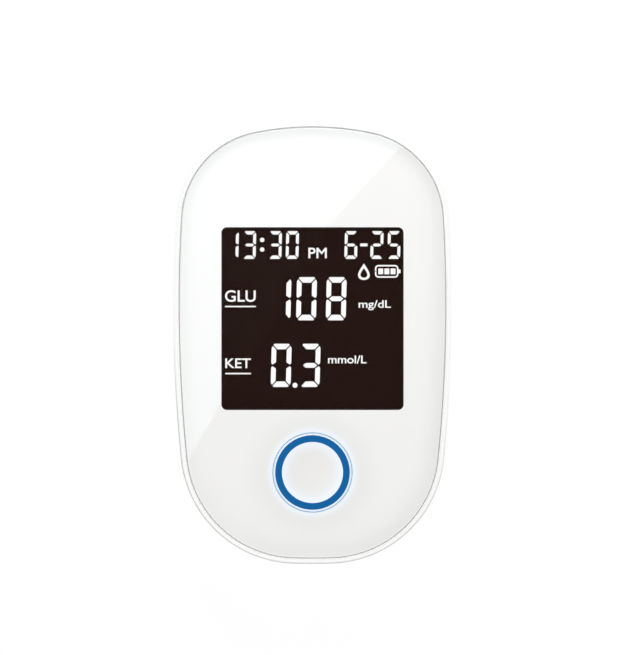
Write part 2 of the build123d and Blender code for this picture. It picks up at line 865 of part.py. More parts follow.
def ejector_spring():
    """The compression spring between the carriage's tower and the bridge."""
    start = tower_front() + spring_wire
    length = bridge_back() - spring_wire - start
    coil = Helix(pitch=length / spring_turns, height=length, radius=spring_radius())
    wire = Plane(origin=coil @ 0, z_dir=coil % 0) * Circle(spring_wire / 2)
    return across_y(start, spring_axis_z()).location * sweep(wire, path=coil)


def main_board():
    """The circuit board: the housing's outline set back, with holes for the screws."""
    board = outline_prism(board_setback, board_back_z, board_top_z)
    for x, y in screw_places():
        board -= rod(x, y, screw_radius + screw_clearance, board_back_z, board_top_z)
    return board


def on_board_back(place, width, length, height):
    """A flat-sided component soldered to the back of the board."""
    x, y = place
    body = Pos(x, y, board_back_z - height / 2) * Box(width, length, height)
    return chamfer(body.edges().group_by(Axis.Z)[0], height / 6)


def buzzer():
    """The sounder's case, with its port facing the back."""
    case = on_board_back(buzzer_place, buzzer_size, buzzer_size, buzzer_height)
    foot_z = board_back_z - buzzer_height
    return case - rod(*buzzer_place, buzzer_size / 8, foot_z, foot_z + buzzer_height / 2)


def clock_crystal():
    """The crystal's can, lying on the back of the board."""
    x, y = crystal_place
    plane = Plane(origin=(x, y - crystal_length / 2, board_back_z - crystal_radius), z_dir=(0, 1, 0))
    can = extrude(plane * Circle(crystal_radius), crystal_length)
    return fillet(can.edges().filter_by(GeomType.CIRCLE), crystal_radius / 4)


def display_layer(width, bottom, top, z0, z1, corner=glass_corner):
    """A flat layer of the display, from one station to another."""
    return pad(0, (bottom + top) / 2, width, top - bottom, corner, z0, z1)


def glass_ends():
    """The lower and upper ends of the display's rear glass."""
    return window_station - glass_height / 2, window_station + glass_height / 2


def display_gasket():
    """The foam frame between the display and the deck."""
    corner = window_corner + aperture_margin
    outer = pad(
        0,
        window_station,
        aperture_width + 2 * gasket_width,
        aperture_height + 2 * gasket_width,
        corner + gasket_width,
        polarizer_top_z,
        deck_z,
    )
    return outer - pad(0, window_station, aperture_width, aperture_height, corner, polarizer_top_z, deck_z)


def display_polarizer():
    """The dark front film of the display."""
    wide = 2 * gasket_width
    width, height = aperture_width + wide, aperture_height + wide
    return pad(0, window_station, width, height, glass_corner, glass_top_z, polarizer_top_z)


def display_front_glass():
    """The front glass, which reaches past the rear one to carry the contact ledge."""
    bottom, top = glass_ends()
    return display_layer(glass_width, bottom, top + contact_ledge, glass_mid_z, glass_top_z)


def display_rear_glass():
    """The rear glass."""
    return display_layer(glass_width, *glass_ends(), glass_back_z, glass_mid_z)


def light_guide():
    """The backlight's light guide, short of the glass where its lamps stand."""
    bottom, top = glass_ends()
    width = glass_width - 2 * light_guide_setback
    return display_layer(width, bottom + backlight_led_space, top, light_guide_back_z, glass_back_z)


def backlight_leds():
    """The backlight's lamps on the board, in a row at the light guide's lower edge."""
    y = glass_ends()[0] + holder_gap
    top = light_guide_back_z + led_height
    lamps = []
    for i in range(backlight_led_count):
        x = (i - (backlight_led_count - 1) / 2) * backlight_led_pitch
        lamps.append(box(x - led_length / 2, x + led_length / 2, y, y + led_width, board_top_z, top))
    return Compound(lamps)


def display_holder():
    """The moulded frame that locates the glass, light guide and contact strip on the board."""
    bottom, top = glass_ends()
    top += contact_ledge
    inner_width = glass_width + 2 * holder_gap
    outer_width = inner_width + 2 * holder_wall
    low, high = bottom - holder_gap, top + holder_gap
    bottom_wall, top_wall = low - holder_wall, high + holder_wall
    holder = display_layer(outer_width, bottom_wall, top_wall, board_top_z, glass_top_z, holder_wall)
    holder -= display_layer(inner_width, low, high, light_guide_back_z, glass_top_z)
    lamp_edge = bottom + backlight_led_space + holder_floor_width
    opening_width = glass_width - 2 * light_guide_setback - 2 * holder_floor_width
    opening_top = glass_ends()[1] - holder_floor_width
    holder -= display_layer(opening_width, lamp_edge, opening_top, board_top_z, light_guide_back_z)
    lamp_half = ((backlight_led_count - 1) * backlight_led_pitch + led_length) / 2 + holder_gap
    lamp_y = bottom + holder_gap + led_width + holder_gap
    holder -= box(-lamp_half, lamp_half, bottom, lamp_y, board_top_z, light_guide_back_z)
    strip_y = zebra_middle()
    half = zebra_width / 2 + holder_gap
    reach = glass_width / 2 - zebra_setback + holder_gap
    return holder - box(-reach, reach, strip_y - half, strip_y + half, board_top_z, light_guide_back_z)


def zebra_middle():
    """The middle of the contact ledge."""
    return glass_ends()[1] + contact_ledge / 2


def zebra_strip():
    """The rubber contact strip between the board and the front glass's ledge."""
    reach = glass_width / 2 - zebra_setback
    y = zebra_middle()
    return box(-reach, reach, y - zebra_width / 2, y + zebra_width / 2, board_top_z, glass_mid_z)


def button_lugs(growth, z0, z1):
    """Lugs round the button's flange that keep it from turning, or their notches when grown."""
    reach = button_radius + button_flange_width + button_lug_reach + growth
    half = button_lug_width / 2 + growth
    lugs = []
    for i in range(button_lug_count):
        turn = 360.0 * i / button_lug_count - 90.0
        lugs.append(Pos(0, button_station, 0) * Rot(0, 0, turn) * box(button_radius, reach, -half, half, z0, z1))
    return lugs


def button_cap():
    """The button: dished top, groove for its ring, hollow skirt, retaining flange and stem."""
    top = body_height + button_proud
    flange_top = deck_z + sleeve_step_height - button_rest_gap
    flange_radius = button_radius + button_flange_width
    stem_z = board_top_z + switch_height + plunger_proud + plunger_float
    inner_radius = button_radius - button_wall
    roof_z = top - ring_depth - button_wall
    cap = rod(0, button_station, button_radius, flange_top, top)
    cap = fillet(cap.edges().group_by(Axis.Z)[-1], button_edge_round)
    cap += rod(0, button_station, flange_radius, flange_top - button_flange_thickness, flange_top)
    cap += button_lugs(0, flange_top - button_flange_thickness, flange_top)
    cap -= rod(0, button_station, inner_radius, flange_top - button_flange_thickness, roof_z)
    cap += rod(0, button_station, button_stem_radius, stem_z, roof_z)
    ring_outer = ring_inner_radius + ring_width
    cap -= rod(0, button_station, ring_outer, top - ring_depth, top) - rod(
        0, button_station, ring_inner_radius, top - ring_depth, top
    )
    ball = roll_radius(ring_inner_radius, button_dish)
    return cap - Pos(0, button_station, top - button_dish + ball) * Sphere(ball)


def button_ring():
    """The coloured ring laid in the button's groove."""
    top = body_height + button_proud
    outer = rod(0, button_station, ring_inner_radius + ring_width, top - ring_depth, top)
    return outer - rod(0, button_station, ring_inner_radius, top - ring_depth, top)


def button_sleeve():
    """The lit sleeve round the button, held under the panel by its flange."""
    top = body_height - sleeve_sunk
    step_z = deck_z + sleeve_step_height
    sleeve = rod(0, button_station, sleeve_outer_radius, step_z, top)
    sleeve += rod(0, button_station, sleeve_flange_radius, step_z, recess_z)
    return sleeve - rod(0, button_station, sleeve_inner_radius, step_z, top)


def button_leds():
    """The ring of small lamps on the board round the button."""
    lamp = Pos(button_led_radius, 0, board_top_z + led_height / 2) * Box(led_width, led_length, led_height)
    lamps = []
    for i in range(button_led_count):
        turn = 360.0 * (i + 0.5) / button_led_count
        lamps.append(Pos(0, button_station, 0) * Rot(0, 0, turn) * lamp)
    return Compound(lamps)


def switch_body():
    """The tactile switch's case, with the well that its plunger sinks into."""
    half = switch_size / 2
    top = board_top_z + switch_height
    case = box(-half, half, button_station - half, button_station + half, board_top_z, top)
    case = chamfer(case.edges().filter_by(Axis.Z), switch_size / 12)
    well_z = plunger_foot_z() - button_travel - plunger_float
    return case - rod(0, button_station, plunger_radius + plunger_clearance, well_z, top)


def plunger_foot_z():
    """The height of the plunger's lower end at rest."""
    return board_top_z + switch_height / 2


def switch_plunger():
    """The switch's plunger, which the button's stem pushes down."""
    top = board_top_z + switch_height + plunger_proud
    plunger = rod(0, button_station, plunger_radius, plunger_foot_z(), top)
    return fillet(plunger.edges().group_by(Axis.Z)[-1], plunger_radius / 5)


nodes = {
    "front_cover": front_cover,
    "back_cover": back_cover,
    "face_panel": face_panel,
    "panel_tape": panel_tape,
    "display_window": window_block,
    "display_gasket": display_gasket,
    "display_polarizer": display_polarizer,
    "display_front_glass": display_front_glass,
    "display_rear_glass": display_rear_glass,
    "light_guide": light_guide,
    "backlight_leds": backlight_leds,
    "display_holder": display_holder,
    "zebra_strip": zebra_strip,
    "main_board": main_board,
    "processor": lambda: on_board_back(processor_place, processor_size, processor_size, processor_height),
    "memory_chip": lambda: on_board_back(memory_place, memory_width, memory_length, memory_height),
    "radio_module": lambda: on_board_back(radio_place, radio_width, radio_length, radio_height),
    "clock_crystal": clock_crystal,
    "buzzer": buzzer,
    "button_cap": button_cap,
    "button_ring": button_ring,
    "button_sleeve": button_sleeve,
    "button_leds": button_leds,
    "switch_body": switch_body,
    "switch_plunger": switch_plunger,
    "coin_cell_upper": lambda: coin_cell(upper_cell_station),
    "coin_cell_lower": lambda: coin_cell(lower_cell_station),
    "cell_leaf_springs": cell_leaf_springs,
    "cell_side_clips": cell_side_clips,
    "battery_door": battery_door,
    "case_screws": case_screws,
    "strip_guide": strip_guide,
    "strip_connector": strip_connector,
    "strip_terminals": strip_terminals,
    "ejector_slide": ejector_slide,
    "ejector_spring": ejector_spring,
}

os.makedirs("parts", exist_ok=True)
for name, build in nodes.items():
    export_step(build(), f"parts/{name}.step")
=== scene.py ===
import math
from collections import defaultdict

import bmesh
import bpy
import numpy as np
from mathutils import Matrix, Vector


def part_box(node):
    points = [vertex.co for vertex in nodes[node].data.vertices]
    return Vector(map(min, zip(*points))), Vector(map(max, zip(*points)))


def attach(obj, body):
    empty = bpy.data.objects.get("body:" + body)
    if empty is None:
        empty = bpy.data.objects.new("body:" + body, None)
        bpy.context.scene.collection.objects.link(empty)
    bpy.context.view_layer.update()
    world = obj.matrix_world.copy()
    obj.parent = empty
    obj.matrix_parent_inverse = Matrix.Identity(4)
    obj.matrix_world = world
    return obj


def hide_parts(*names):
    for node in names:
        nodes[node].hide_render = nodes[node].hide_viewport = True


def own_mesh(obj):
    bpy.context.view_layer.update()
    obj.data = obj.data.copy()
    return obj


bl_info = {
    "name": "Blood glucose meter",
    "version": (1, 0, 0),
    "blender": (4, 5, 0),
    "location": "3D View > Sidebar > Meter",
    "description": "Finishes, readings and small details of a hand-held blood glucose meter",
    "category": "Object",
}

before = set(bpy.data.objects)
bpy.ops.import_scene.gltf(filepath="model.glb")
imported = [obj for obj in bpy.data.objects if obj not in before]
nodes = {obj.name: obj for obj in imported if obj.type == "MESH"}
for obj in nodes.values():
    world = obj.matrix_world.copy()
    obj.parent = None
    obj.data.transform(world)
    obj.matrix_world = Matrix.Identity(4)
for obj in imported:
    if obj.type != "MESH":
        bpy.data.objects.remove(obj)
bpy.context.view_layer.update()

MM = 0.001
UP = np.array([0.0, 0.0, 1.0])
FLAT = np.array([1.0, 1.0, 0.0])  # times a place, gives its place in plan
WELD = 1e-8  # metres within which doubled points merge


def tone(red, green, blue):
    """A display colour, 0 to 255 a channel, as the linear colour that renders to it."""
    display = np.array([red, green, blue]) / 255.0
    linear = np.where(display > 0.04045, ((display + 0.055) / 1.055) ** 2.4, display / 12.92)
    return tuple(linear.tolist())


def dimmed(colour, share):
    """A colour times a share."""
    return tuple(share * channel for channel in colour)


def corners(node):
    """A CAD node's lowest and highest corners, in millimetres."""
    return [np.array(corner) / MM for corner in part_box(node)]


def middle(node):
    """A CAD node's middle, in millimetres."""
    return sum(corners(node)) / 2


BUTTON_CENTRE = middle("button_ring")
WINDOW_CENTRE = middle("display_window")


# ---- settings

LENGTH = {"subtype": "DISTANCE", "unit": "LENGTH"}
SHARE = {"subtype": "FACTOR", "max": 1.0}
LENS = {"subtype": "DISTANCE_CAMERA", "unit": "CAMERA"}


def amount(name, description, default, **kind):
    """A number that a user can change, from nought up unless its kind says otherwise."""
    kind = {"min": 0.0, **kind}
    return bpy.props.FloatProperty(name=name, description=description, default=default, **kind)


def tint(name, description, *display):
    """A colour that a user can change, given as a display colour."""
    kind = {"subtype": "COLOR", "min": 0.0, "max": 1.0}
    return bpy.props.FloatVectorProperty(name=name, description=description, default=tone(*display), **kind)


class MeterHousing(bpy.types.PropertyGroup):
    case_colour: tint("Housing colour", "Colour of both housing shells and the battery door", 250, 250, 249)
    panel_colour: tint("Panel colour", "Colour of the glossy face panel", 247, 246.5, 245.2)
    # used for the panel's pearl mottle, and for painted shade on its rolled edge and round the button
    panel_pearl_and_shade_colour: tint("Panel edge colour", "Colour of the face panel near its edge", 236, 236, 235)
    grain_size: amount("Grain size", "Width of the mould grain on the back", 0.00014, min=0.00002, **LENGTH)
    grain_depth: amount("Grain depth", "Depth of the mould grain on the back", 0.000006, **LENGTH)


class MeterDisplay(bpy.types.PropertyGroup):
    glow_colour: tint("Segment colour", "Colour of the lit segments, labels and icons", 252, 252, 252)
    field_colour: tint("Field colour", "Colour of the unlit field, seen through the window", 36, 24, 21)
    smoke: amount("Smoke", "Share of the light that the window lets through", 0.7, min=0.1, **SHARE)
    reading_height: amount("Reading height", "Height of the large readings", 0.00788, min=0.001, **LENGTH)
    clock_height: amount("Clock height", "Height of the time and the date", 0.0051, min=0.001, **LENGTH)


class MeterButton(bpy.types.PropertyGroup):
    cap_colour: tint("Cap colour", "Colour of the push button", 240, 239, 238)
    ring_colour: tint("Ring colour", "Colour of the ring inlaid in the button", 8, 99, 165)
    halo_colour: tint("Halo colour", "Colour of the light that the sleeve throws round it", 111, 200, 255)
    sleeve_colour: tint("Sleeve colour", "Colour of the line of light in the sleeve", 80, 140, 174)


class MeterStage(bpy.types.PropertyGroup):
    ambient: amount("Ambient", "Level of the even light from straight above", 0.635)
    walls: amount("Walls", "Level of the light from all round, near the horizon", 1.06)
    bounce: amount("Bounce", "Level of the light that comes back from below", 0.6)
    softbox: amount("Softbox", "Brightness of the large panel overhead, seen in gloss alone", 1.9)
    floor_grey: amount("Floor grey", "Share of the light that the floor scatters", 0.2, **SHARE)
    camera_lens: amount("Lens", "Focal length, in millimetres", 500.0, min=10.0, **LENS)
    picture_height: amount("Picture height", "Height that the picture shows", 0.11812, min=0.01, **LENGTH)


SETTINGS = {
    "meter_housing": MeterHousing,
    "meter_display": MeterDisplay,
    "meter_button": MeterButton,
    "meter_stage": MeterStage,
}


# ---- shapes, in millimetres


def grid_faces(rows, columns, ring=True, loop=False):
    """The quads between neighbours of a grid of points. A ring joins each row's end to its start, and a
    loop joins the last row to the first."""
    index = np.arange(rows * columns).reshape(rows, columns)
    if loop:
        index = np.vstack([index, index[:1]])
    if ring:
        index = np.hstack([index, index[:, :1]])
    quads = [index[:-1, :-1], index[1:, :-1], index[1:, 1:], index[:-1, 1:]]
    return np.stack(quads, axis=-1).reshape(-1, 4)


def tube(points):
    """A grid of points whose rows are rings, with a flat face over either end."""
    rows, columns = points.shape[:2]
    end = np.arange(columns)[None]
    return points, [grid_faces(rows, columns), end, end + (rows - 1) * columns]


def unit(vectors):
    """Vectors divided by their lengths."""
    return vectors / np.linalg.norm(vectors, axis=-1, keepdims=True)


def swept(path, profile, up=UP):
    """A profile carried along a path. Each point is the path's point, plus the profile's x along the
    direction at right angles to the path and to up, plus its y along what is left of up."""
    ahead = unit(np.gradient(path, axis=0))
    side = unit(np.cross(ahead, up))
    lift = np.cross(side, ahead)
    return tube(path[:, None] + side[:, None] * profile[None, :, :1] + lift[:, None] * profile[None, :, 1:])


def at_height(outline, height):
    """An outline in plan as points at a height."""
    return np.column_stack([outline, np.full(len(outline), height)])


def prism(outline, low, high):
    """An outline in plan carried straight up between two heights, with flat ends."""
    return tube(np.stack([at_height(outline, low), at_height(outline, high)]))


def ring_prism(outer, inner, low, high):
    """The band between two outlines with as many points each, carried up between two heights."""
    edges = [(outer, low), (outer, high), (inner, high), (inner, low)]
    return np.stack([at_height(*edge) for edge in edges]), [grid_faces(4, len(outer), loop=True)]


def turns(steps):
    """Equal turns round a circle, in radians."""
    return np.linspace(0, 2 * np.pi, steps, endpoint=False)


def ray(angle):
    """The cosine and the sine of each angle."""
    return np.stack([np.cos(angle), np.sin(angle)], axis=-1)


def circle(radius, steps):
    """A closed outline: the cosine and sine of equal turns, times the radius."""
    return radius * ray(turns(steps))


def rectangle(width, height):
    """The four corners of a rectangle about the origin."""
    return np.array([(-width, -height), (width, -height), (width, height), (-width, height)]) / 2


def rounded_rectangle(width, height, corner, steps=6):
    """A closed outline: a quarter circle about each of four centres, set in from the corners."""
    quarter = np.arange(4)[:, None] * np.pi / 2
    centres = np.sign(ray(quarter + np.pi / 4)) * (width / 2 - corner, height / 2 - corner)
    return (centres + corner * ray(quarter + np.linspace(0, np.pi / 2, steps))).reshape(-1, 2)


def inset(outline, distance):
    """A convex outline drawn in: each corner moves along the sum of its two sides' inward normals,
    divided by one plus their dot product, so that both sides move by the distance."""
    ahead = unit(np.roll(outline, -1, axis=0) - outline)
    behind = np.roll(ahead, 1, axis=0)
    turn = np.sign(np.sum(behind[:, 0] * ahead[:, 1] - behind[:, 1] * ahead[:, 0]))
    inward = turn * np.stack([-ahead[:, 1], ahead[:, 0]], axis=-1)
    before = np.roll(inward, 1, axis=0)
    share = 1 + np.sum(inward * before, axis=1, keepdims=True)
    return outline + distance * (inward + before) / share


def drop_outline(width, height):
    """A drop: the height follows the cosine of a turn, and the width its sine, times the sine of half
    the turn to the power of one and a half, which draws the top to a point."""
    turn = turns(48)
    across = np.sin(turn) * np.abs(np.sin(turn / 2)) ** 1.5
    return np.stack([-across / across.max() * width / 2, np.cos(turn) * height / 2], axis=-1)


def plus_outline(size, arm):
    """A plus sign: three corners of one arm as complex numbers, times each power of i."""
    half, inner = size / 2, arm / 2
    corner = np.array([complex(half, -inner), complex(half, inner), complex(inner, inner)])
    place = (1j ** np.arange(4)[:, None] * corner).ravel()
    return np.column_stack([place.real, place.imag])


def mesh_points(mesh):
    """The places of a mesh's points."""
    points = np.zeros(len(mesh.vertices) * 3)
    mesh.vertices.foreach_get("co", points)
    return points.reshape(-1, 3)


class Shape:
    """The patches of one new piece, gathered in millimetres until the piece is made."""

    def __init__(self):
        self.points, self.faces, self.paints, self.count = [], [], [], 0

    def add(self, patch, paint=0, shift=(0.0, 0.0, 0.0)):
        """Adds a patch, its points moved by a shift, in one of the piece's paints."""
        points, faces = patch
        points = np.asarray(points, float).reshape(-1, 3) + shift
        for block in faces:
            rows = (np.asarray(block) + self.count).tolist()
            self.faces += rows
            self.paints += [paint] * len(rows)
        self.points.append(points)
        self.count += len(points)
        return self

    def piece(self, name, finishes, body, slot, smooth=40.0):
        """Makes the piece: doubles merged, faces outwards, smooth below an angle in degrees."""
        mesh = bpy.data.meshes.new(name)
        mesh.from_pydata((np.concatenate(self.points) * MM).tolist(), [], self.faces)
        mesh.polygons.foreach_set("material_index", np.array(self.paints, np.int32))
        work = bmesh.new()
        work.from_mesh(mesh)
        bmesh.ops.remove_doubles(work, verts=work.verts, dist=WELD)
        bmesh.ops.recalc_face_normals(work, faces=work.faces)
        work.to_mesh(mesh)
        work.free()
        mesh.polygons.foreach_set("use_smooth", np.ones(len(mesh.polygons), bool))
        mesh.set_sharp_from_angle(angle=math.radians(smooth))
        for finish in finishes:
            mesh.materials.append(finish.material)
        made = bpy.data.objects.new(name, mesh)
        bpy.context.scene.collection.objects.link(made)
        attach(made, body)
        return made


# ---- shader networks


class Network:
    """A node tree, with short ways to add nodes and join them."""

    def __init__(self, tree):
        self.tree = tree

    def join(self, value, socket):
        """Feeds a socket from another socket, or sets its number or colour."""
        if isinstance(value, bpy.types.NodeSocket):
            self.tree.links.new(value, socket)
        elif socket.type == "RGBA":
            socket.default_value = tuple(value)[:3] + (1.0,)
        else:
            socket.default_value = value

    def node(self, kind, settings=None, **inputs):
        """Adds a shader node with settings, and inputs named as its sockets are."""
        made = self.tree.nodes.new("ShaderNode" + kind)
        for name, value in (settings or {}).items():
            setattr(made, name, value)
        for name, value in inputs.items():
            self.join(value, made.inputs[name.replace("_", " ")])
        return made

    def math(self, operation, *values):
        """One sum, product or other operation on numbers or sockets."""
        made = self.node("Math", {"operation": operation})
        for value, socket in zip(values, made.inputs):
            self.join(value, socket)
        return made.outputs[0]

    def product(self, first, second):
        """The product of two numbers or sockets."""
        return self.math("MULTIPLY", first, second)

    def vector(self, operation, first, second=(0.0, 0.0, 0.0), output="Vector"):
        """One operation on vectors."""
        made = self.node("VectorMath", {"operation": operation})
        self.join(first, made.inputs[0])
        self.join(second, made.inputs[1])
        return made.outputs[output]

    def split(self, value):
        """The three parts of a vector, named X, Y and Z."""
        return self.node("SeparateXYZ", Vector=value).outputs

    def facing(self):
        """The three parts of the surface's normal."""
        return self.split(self.node("NewGeometry").outputs["Normal"])

    def ramp(self, value, low, high, at_low=0.0, at_high=1.0):
        """A smooth step from one value to another while the input goes from low to high."""
        made = self.node("MapRange", {"interpolation_type": "SMOOTHSTEP"}, Value=value)
        for socket, number in zip(made.inputs[1:5], (low, high, at_low, at_high)):
            self.join(number, socket)
        return made.outputs[0]

    def noise(self, place, scale, detail=2.0, distortion=0.0):
        """Fractal noise about one half."""
        made = self.node("TexNoise", Vector=place, Scale=scale, Detail=detail, Distortion=distortion)
        return made.outputs["Fac"]

    def stripes(self, place, scale):
        """Straight stripes across X: a sine wave between nought and one."""
        wave = self.node("TexWave", {"bands_direction": "X"}, Vector=place, Scale=scale, Distortion=0.0)
        return wave.outputs["Fac"]


def spark_grain(net, place, inputs):
    """Spark-eroded mould grain: soft cells and finer noise, both set by the grain's width."""
    scale = net.math("DIVIDE", 1.0, inputs["Size"])
    cells = net.node("TexVoronoi", {"feature": "SMOOTH_F1"}, Vector=place, Scale=scale)
    fine = net.noise(place, net.product(scale, 2.0), 3.0)
    return {"Height": net.math("ADD", net.product(cells.outputs["Distance"], 0.6), fine)}


def handling_marks(net, place, inputs):
    """Faint smears from handling: wide distorted noise, kept where it is high."""
    wide = net.noise(place, net.math("DIVIDE", 1.0, inputs["Size"]), 4.0, 1.2)
    return {"Mask": net.ramp(wide, 0.48, 0.72)}


def brushed_lines(net, place, inputs):
    """Brushed lines along X: noise on a place that is squeezed along the lines."""
    thin = net.math("DIVIDE", 1.0, inputs["Width"])
    squeeze = net.node("CombineXYZ", X=net.product(thin, 0.03), Y=thin, Z=thin)
    lines = net.noise(net.vector("MULTIPLY", place, squeeze.outputs[0]), 1.0, 3.0)
    return {"Height": lines, "Mask": net.ramp(lines, 0.42, 0.66)}


def halo(net, place, inputs):
    """A glow round a circle: the exponential of minus the square of the distance from the circle in
    plan, over the glow's width. Inside the circle the glow has its own width."""
    flat = net.vector("MULTIPLY", place, tuple(FLAT))
    off = net.math("SUBTRACT", net.vector("LENGTH", flat, output="Value"), inputs["Radius"])
    outside = net.math("GREATER_THAN", off, 0.0)
    spread = net.math("SUBTRACT", inputs["Outer Width"], inputs["Inner Width"])
    share = net.math("DIVIDE", off, net.math("MULTIPLY_ADD", outside, spread, inputs["Inner Width"]))
    return {"Mask": net.math("EXPONENT", net.product(net.product(share, share), -1.0))}


def soft_band(net, place, inputs):
    """One where a value is within half a width of a centre, with soft edges; the value is the place's X."""
    off = net.math("ABSOLUTE", net.math("SUBTRACT", net.split(place)["X"], inputs["Centre"]))
    near, far = (net.math(way, inputs["Half Width"], inputs["Softness"]) for way in ("SUBTRACT", "ADD"))
    return {"Mask": net.ramp(off, near, far, 1.0, 0.0)}


def flecks(net, place, inputs):
    """Small flecks: the middles of scattered cells, a share of them kept by the cell's own number."""
    cells = net.node("TexVoronoi", Vector=place, Scale=net.math("DIVIDE", 1.0, inputs["Size"])).outputs
    kept = net.math("LESS_THAN", net.split(cells["Color"])[0], inputs["Share"])
    return {"Mask": net.product(kept, net.ramp(cells["Distance"], 0.15, 0.4, 1.0, 0.0))}


# Each effect: its maker, and its inputs beside the place
EFFECTS = {
    "Spark Grain": (spark_grain, "Size"),
    "Handling Marks": (handling_marks, "Size"),
    "Brushed Lines": (brushed_lines, "Width"),
    "Halo": (halo, "Radius", "Inner Width", "Outer Width"),
    "Soft Band": (soft_band, "Centre", "Half Width", "Softness"),
    "Flecks": (flecks, "Size", "Share"),
}


def effect_group(name):
    """The shared node group of an effect, made on its first use."""
    group = bpy.data.node_groups.get(name)
    if group:
        return group
    maker, *inputs = EFFECTS[name]
    group = bpy.data.node_groups.new(name, "ShaderNodeTree")
    group.interface.new_socket("Place", in_out="INPUT", socket_type="NodeSocketVector")
    for label in inputs:
        group.interface.new_socket(label, in_out="INPUT", socket_type="NodeSocketFloat")
    enter = group.nodes.new("NodeGroupInput").outputs
    made = maker(Network(group), enter["Place"], enter)
    for label in made:
        group.interface.new_socket(label, in_out="OUTPUT", socket_type="NodeSocketFloat")
    leave = group.nodes.new("NodeGroupOutput").inputs
    for label, value in made.items():
        group.links.new(value, leave[label])
    return group


class Finish(Network):
    """A material built round one Principled shader, whose constants sit on its own sockets."""

    def __init__(self, name, colour, roughness, **constants):
        self.material = bpy.data.materials.new(name)
        self.material.use_nodes = True
        super().__init__(self.material.node_tree)
        self.shader = self.tree.nodes["Principled BSDF"]
        constants.update(Base_Color=colour, Roughness=roughness)
        for socket, value in constants.items():
            self.join(value, self.shader.inputs[socket.replace("_", " ")])
        self.relief = None

    def place(self, centre=(0.0, 0.0, 0.0)):
        """The object's own coordinates in millimetres, about a centre."""
        own = self.node("TexCoord").outputs["Object"]
        scaled = self.node("Mapping", Vector=own, Scale=(1 / MM,) * 3)
        return self.vector("SUBTRACT", scaled.outputs[0], tuple(centre))

    def along(self, axis, centre=(0.0, 0.0, 0.0)):
        """One coordinate of the place, as a vector that starts with it."""
        return self.node("CombineXYZ", X=self.split(self.place(centre))[axis]).outputs[0]

    def effect(self, name, place=None, output="Mask", **inputs):
        """An output of a shared effect with this material's values."""
        settings = {"node_tree": effect_group(name)}
        return self.node("Group", settings, Place=place or self.place(), **inputs).outputs[output]

    def halo(self, centre, radius, inner, outer):
        """A glow round a circle about a centre, with its widths inside and outside the circle."""
        place = self.place(centre)
        return self.effect("Halo", place, Radius=radius, Inner_Width=inner, Outer_Width=outer)

    def layer(self, socket, mask, value):
        """Lays a colour or a number over what a socket of the shader has, where the mask is one."""
        target = self.shader.inputs[socket]
        colour = target.type == "RGBA"
        below = target.links[0].from_socket if target.links else target.default_value
        mix = self.node("Mix", {"data_type": "RGBA" if colour else "FLOAT"})
        first, second, result = (6, 7, 2) if colour else (2, 3, 0)
        for given, place in ((mask, 0), (below, first), (value, second)):
            self.join(given, mix.inputs[place])
        self.tree.links.new(mix.outputs[result], target)
        return self

    def paint(self, mask, *display):
        """Lays a display colour over the base colour, where the mask is one."""
        return self.layer("Base Color", mask, tone(*display))

    def flecked(self, size, share, *display):
        """Flecks of a width in millimetres in a display colour."""
        return self.paint(self.effect("Flecks", Size=size, Share=share), *display)

    def bump(self, height, depth):
        """Adds relief of a depth in millimetres on top of the relief so far."""
        made = self.node("Bump", Height=height, Distance=depth * MM, Strength=1.0)
        if self.relief:
            self.join(self.relief, made.inputs["Normal"])
        self.relief = made.outputs["Normal"]
        self.join(self.relief, self.shader.inputs["Normal"])
        return self

    def grained(self, size, depth):
        """Mould grain of a width and depth in millimetres."""
        return self.bump(self.effect("Spark Grain", output="Height", Size=size), depth)

    def handled(self, roughness, size=9.0):
        """Handling marks, where the roughness turns to another value."""
        return self.layer("Roughness", self.effect("Handling Marks", Size=size), roughness)

    def dress(self, *names):
        """Gives the finish to CAD nodes."""
        for name in names:
            for slot in nodes[name].material_slots:
                slot.material = self.material
        return self


LINE_WEAR = 0.12  # how much rougher metal is along its lines
NO_GLOW = {"Emission_Strength": 1.0, "Emission_Color": (0.0, 0.0, 0.0)}  # for layers of light to start on


def plastic(name, colour, roughness, grain=0.1, depth=0.003, marks=0.1, **constants):
    """Moulded plastic with its mould's grain and faint handling marks."""
    return Finish(name, colour, roughness, **constants).grained(grain, depth).handled(roughness + marks)


def metal(name, colour, roughness, width, depth):
    """Metal with drawn or brushed lines, rougher along them."""
    made = Finish(name, colour, roughness, Metallic=1.0)
    place = made.place()
    made.bump(made.effect("Brushed Lines", place, "Height", Width=width), depth)
    return made.layer("Roughness", made.effect("Brushed Lines", place, Width=width), roughness + LINE_WEAR)


def clear(name, colour, roughness, index):
    """Clear glass or plastic with an index of refraction."""
    return Finish(name, colour, roughness, IOR=index, Transmission_Weight=1.0)


# ---- housing

GASKET_COVER = 0.5  # how far the gasket reaches past the dark paint
LEDGE_SEEP = (0.1, 0.1, 0.1)  # light that seeps through the shell into the gap round the panel


def gloss_case(look):
    """Polished white case plastic, painted dark where the display's opening would let light through."""
    grain = {"grain": 0.4, "depth": 0.0008, "marks": 0.06}
    made = plastic("Housing gloss", look.case_colour, 0.22, Coat_Weight=0.3, **grain, **NO_GLOW)
    low, high = corners("display_gasket")
    reach = (high - low) / 2 - GASKET_COVER
    height = made.along(2)
    bands = [  # each band's place, centre, half width and softness
        (made.along(0, WINDOW_CENTRE), 0.0, reach[0], 0.05),
        (made.along(1, WINDOW_CENTRE), 0.0, reach[1], 0.05),
        (height, high[2] + 0.6, 0.9, 0.02),
        (height, corners("panel_tape")[0][2], 0.1, 0.05),
    ]
    across, along, deck, ledge = (
        made.effect("Soft Band", place, Centre=centre, Half_Width=half, Softness=soft)
        for place, centre, half, soft in bands
    )
    mask = made.product(made.product(across, along), deck)
    # a faint glow painted on the ledge in the gap round the panel, standing in for light that seeps through
    # the shell
    made.layer("Emission Color", made.product(ledge, made.math("SUBTRACT", 1.0, mask)), LEDGE_SEEP)
    return made.paint(mask, 30, 26, 25).layer("Roughness", mask, 0.8)


